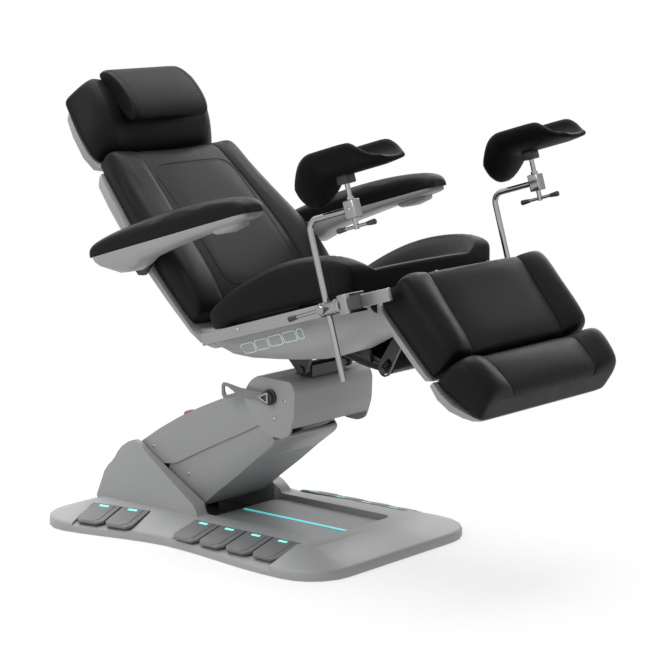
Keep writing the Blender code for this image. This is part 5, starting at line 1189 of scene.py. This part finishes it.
def between(start, end):
    """A frame at start whose Z axis points to end."""
    return Matrix.Translation(start) @ Vector((0, 0, 1)).rotation_difference(end - start).to_matrix().to_4x4()


def tip_profile(low, high, long):
    """A rounded rubber end that flares from low to high."""
    return ((0.0, 0.0), (low, 0.0), (low + (high - low) * 0.7, long * 0.55), (high, long * 0.90),
            (high * 0.93, long * 0.97), (high * 0.70, long), (0.0, long))


def add_clamp(side, word):
    """The jaw with its barrel, and the lever with its tip, of one side."""
    back, front, top = RAIL_INNER - JAW_HOOK, POST_X + JAW_BEYOND, RAIL_HEIGHT + JAW_WALL
    slot_top, slot_front = RAIL_HEIGHT + JAW_GAP, RAIL_OUTER + JAW_GAP
    section = ((back, -JAW_WALL), (front, -JAW_WALL), (front, top), (back, top),
               (back, slot_top), (slot_front, slot_top), (slot_front, -JAW_GAP), (back, -JAW_GAP))
    jaw_place = seat_frame_at(0, JAW_V - JAW_LONG / 2, 0) @ Matrix.Rotation(math.pi / 2, 4, "X")
    outline = rounded([(side * a, b) for a, b in section], JAW_ROUND, steps=3)
    jaw = extruded("jaw", [outline], JAW_LONG, jaw_place, JAW_EDGE)
    barrel_place = seat_frame_at(side * POST_X, JAW_V - BARREL_BACK, RAIL_MIDDLE)
    barrel = turned("barrel", BARREL_PROFILE, barrel_place @ Matrix.Rotation(-math.pi / 2, 4, "X"))
    clamp = joined(f"rail_clamp_{word}_body", [jaw, barrel], chrome)
    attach(clamp, f"clamp_{word}")
    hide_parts(f"rail_clamp_{word}")

    hub_place = (seat_frame_at(side * CLAMP_HUB_X, POST_V, RAIL_MIDDLE)
                 @ Matrix.Rotation(side * math.pi / 2, 4, "Y"))
    hub = turned("hub", CLAMP_HUB_PROFILE, hub_place)
    start = Vector((side * (CLAMP_HUB_X + CLAMP_LEVER_OUT), POST_V, RAIL_MIDDLE))
    end = start + CLAMP_LEVER
    bar = bent_bar("bar", [SEAT @ start, SEAT @ end], CLAMP_LEVER_RADIUS)
    lever = joined(f"clamp_lever_{word}_arm", [hub, bar], chrome)
    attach(lever, f"clamp_lever_{word}")
    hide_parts(f"clamp_lever_{word}")
    tip_start = end + (start - end).normalized() * CLAMP_TIP_OVERLAP
    tip_mesh = turned("tip", tip_profile(*CLAMP_TIP), between(SEAT @ tip_start, SEAT @ end))
    tip = new_piece(f"clamp_lever_{word}_tip", tip_mesh, tip_rubber)
    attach(tip, f"clamp_lever_{word}")


# Stirrups: a bent chrome post in each clamp, with a block at its end that is held by a screw.
# A tee screw with two rubber tips passes through the block.
POST_LOW = -0.170
POST_HIGH = 0.240
POST_RADIUS = 0.008
POST_BEND = 0.028
POST_RINGS = 7
POST_END = 0.002
BEND_STEP = 6
BEND_STOPS = 16
BLOCK = (0.030, 0.034, 0.046)
BLOCK_ROUND = 0.004
BLOCK_EDGE = 0.0026
BLOCK_SCREW = (0.0055, 0.0026)
BLOCK_SCREW_SUNK = 0.0004
STEM_V = -0.647
STEM_LOW = 0.189
STEM_HIGH = 0.304
STEM_RADIUS = 0.0065
STEM_GAP = 0.0003
STEM_LONG = STEM_HIGH - STEM_LOW - STEM_GAP
COLLAR_RADIUS = 0.0095
STEM_PROFILE = ((0.0, 0.0), (STEM_RADIUS * 0.8, 0.0), (STEM_RADIUS, 0.0015), (STEM_RADIUS, 0.0744),
                (COLLAR_RADIUS, 0.0744), (COLLAR_RADIUS, 0.0815), (STEM_RADIUS, 0.082),
                (STEM_RADIUS, STEM_LONG), (0.0, STEM_LONG))
TEE_HALF = 0.062
TEE_RADIUS = 0.0045
TEE_W = 0.196
TEE_BAR_SHORT = 0.004
TEE_TIP = (0.0054, 0.0073, 0.026)


def add_stirrup(side, word):
    """The post, its block and the tee screw of one side."""
    x = side * POST_X
    turns = [math.radians(BEND_STEP * k) for k in range(BEND_STOPS)]
    bend = [(x, POST_V - POST_BEND + POST_BEND * math.cos(a), POST_HIGH - POST_BEND + POST_BEND * math.sin(a))
            for a in turns]
    route = [(x, POST_V, POST_LOW)] + bend + [(x, STEM_V + BLOCK[1] / 2 - POST_END, POST_HIGH)]
    post_mesh = bent_bar("post", [on_seat(*spot) for spot in route], POST_RADIUS, rings=POST_RINGS)
    post = new_piece(f"support_post_{word}_rod", post_mesh, chrome)
    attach(post, f"post_{word}")
    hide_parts(f"support_post_{word}")
    block_mesh = extruded("block", [rounded(rectangle(BLOCK[0], BLOCK[1]), BLOCK_ROUND)], BLOCK[2],
                          seat_frame_at(x, STEM_V, POST_HIGH), BLOCK_EDGE)
    block = new_piece(f"pad_clamp_{word}_block", block_mesh, chrome)
    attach(block, f"post_{word}")
    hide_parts(f"pad_clamp_{word}")
    screw_spot = on_seat(x + side * (BLOCK[0] / 2 - BLOCK_SCREW_SUNK), STEM_V, POST_HIGH)
    facing = SEAT.to_3x3() @ Vector((side, 0.0, 0.0))
    screws(f"pad_clamp_screws_{word}", f"post_{word}", [screw_spot], facing, BLOCK_SCREW)

    stem = turned("stem", STEM_PROFILE, seat_frame_at(x, STEM_V, STEM_LOW))
    bar_ends = [on_seat(x, STEM_V + end * (TEE_HALF - TEE_BAR_SHORT), TEE_W) for end in (-1, 1)]
    tee = joined(f"tee_handle_{word}_bar", [stem, bent_bar("tee_bar", bar_ends, TEE_RADIUS)], chrome)
    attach(tee, f"tee_{word}")
    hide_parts(f"tee_handle_{word}")
    tips = []
    for end in (-1, 1):
        tip_start = on_seat(x, STEM_V + end * (TEE_HALF - TEE_TIP[2]), TEE_W)
        tip_place = between(tip_start, on_seat(x, STEM_V + end * TEE_HALF, TEE_W))
        tips.append(turned("tip", tip_profile(*TEE_TIP), tip_place))
    tips = joined(f"tee_handle_{word}_tips", tips, tip_rubber)
    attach(tips, f"tee_{word}")


# Knee pads: troughs of moulded black foam with a pebbled skin, which turn down at the knee end.
# A square rubber mount fixes each one to the stem of its tee screw.
PAD_TONE = (0.0055, 0.0055, 0.0055, 1.0)
PAD_FRONT = -0.812
PAD_LENGTH = 0.282
PAD_FLOOR = 0.331
PAD_EDGE = 0.354
PAD_HALF = 0.078
PAD_SPAN = 0.98
PAD_HOLLOW = 2.2
PAD_THICK = 0.0068
PAD_THIN = 0.0006
PAD_STOPS = (37, 29)
TOE_SHARE = 0.20
TOE_LIFT = 0.004
TOE_NARROW = 0.20
TOE_ROUND = 0.55
KNEE_FROM = 0.66
KNEE_SHARE = 0.30
KNEE_DROP = 0.060
KNEE_NARROW = 0.10
KNEE_ROUND = 0.30
WALL_SHARE = 0.28
WALL_RISE = 0.038
WALL_FALL = 0.018
CORNER_POWER = 5
END_POWER = 26
RIM_POWER = 16
RIM_THINNING = 0.85
MOUNT = 0.036
MOUNT_ROUND = 0.005
MOUNT_EDGE = 0.0016
pad_skin = surfaced("pad_skin", PEBBLED_HIDE,
                    {"Tone": PAD_TONE, "Pebbles": 1100.0, "Gloss": 0.5}, 0.12, specular=0.05)


def knee_rings(middle):
    """The knee pad as rows of slit rings: a trough with high sides that turns down at the knee end."""
    shares = np.linspace(0.0, 1.0, PAD_STOPS[0])
    turns = np.linspace(-1.0, 1.0, PAD_STOPS[1])
    sheet = np.empty((len(shares), len(turns), 3))
    for i, t in enumerate(shares):
        drop = KNEE_DROP * eased((t - KNEE_FROM) / KNEE_SHARE)
        floor = PAD_FLOOR + TOE_LIFT * eased(1 - t / TOE_SHARE) - drop
        fall = WALL_FALL * eased((t - (1 - KNEE_SHARE)) / KNEE_SHARE)
        rise = PAD_EDGE + WALL_RISE * eased(t / WALL_SHARE) - fall - floor
        toe = 1 - TOE_NARROW + TOE_NARROW * eased(t / TOE_SHARE)
        width = PAD_HALF * toe * (1 - KNEE_NARROW * eased((t - (1 - TOE_SHARE)) / TOE_SHARE))
        corner = 1.0 - (TOE_ROUND if t < 0.5 else KNEE_ROUND) * abs(2 * t - 1) ** CORNER_POWER
        for k, s in enumerate(turns * corner):
            across = width * math.sin(s * math.pi / 2) * PAD_SPAN
            sheet[i, k] = (middle + across, PAD_FRONT + PAD_LENGTH * t, floor + rise * abs(s) ** PAD_HOLLOW)
    normal = np.cross(np.gradient(sheet, axis=1), np.gradient(sheet, axis=0))
    normal /= np.linalg.norm(normal, axis=2, keepdims=True)
    ends = (1 - np.abs(2 * shares - 1) ** END_POWER) ** 0.5
    rims = (1 - RIM_THINNING * np.abs(turns) ** RIM_POWER) ** 0.5
    lift = normal * (PAD_THICK * np.outer(ends, rims) + PAD_THIN)[:, :, None]
    return np.concatenate([sheet + lift, (sheet - lift)[:, ::-1]], axis=1)


def add_knee_pad(side, word):
    """The trough and its mount of one side."""
    x = side * POST_X
    trough = grid_mesh("trough", placed(knee_rings(x), SEAT), True)
    pad = new_piece(f"leg_pad_{word}_trough", trough, pad_skin)
    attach(pad, f"knee_pad_{word}")
    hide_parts(f"leg_pad_{word}")
    mount_mesh = extruded("mount", [rounded(rectangle(MOUNT, MOUNT), MOUNT_ROUND)], PAD_FLOOR - STEM_HIGH,
                          seat_frame_at(x, STEM_V, (PAD_FLOOR + STEM_HIGH) / 2), MOUNT_EDGE)
    mount = new_piece(f"leg_pad_{word}_mount", mount_mesh, tip_rubber)
    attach(mount, f"knee_pad_{word}")


for side, word in SIDES:
    add_clamp(side, word)
    add_stirrup(side, word)
    add_knee_pad(side, word)
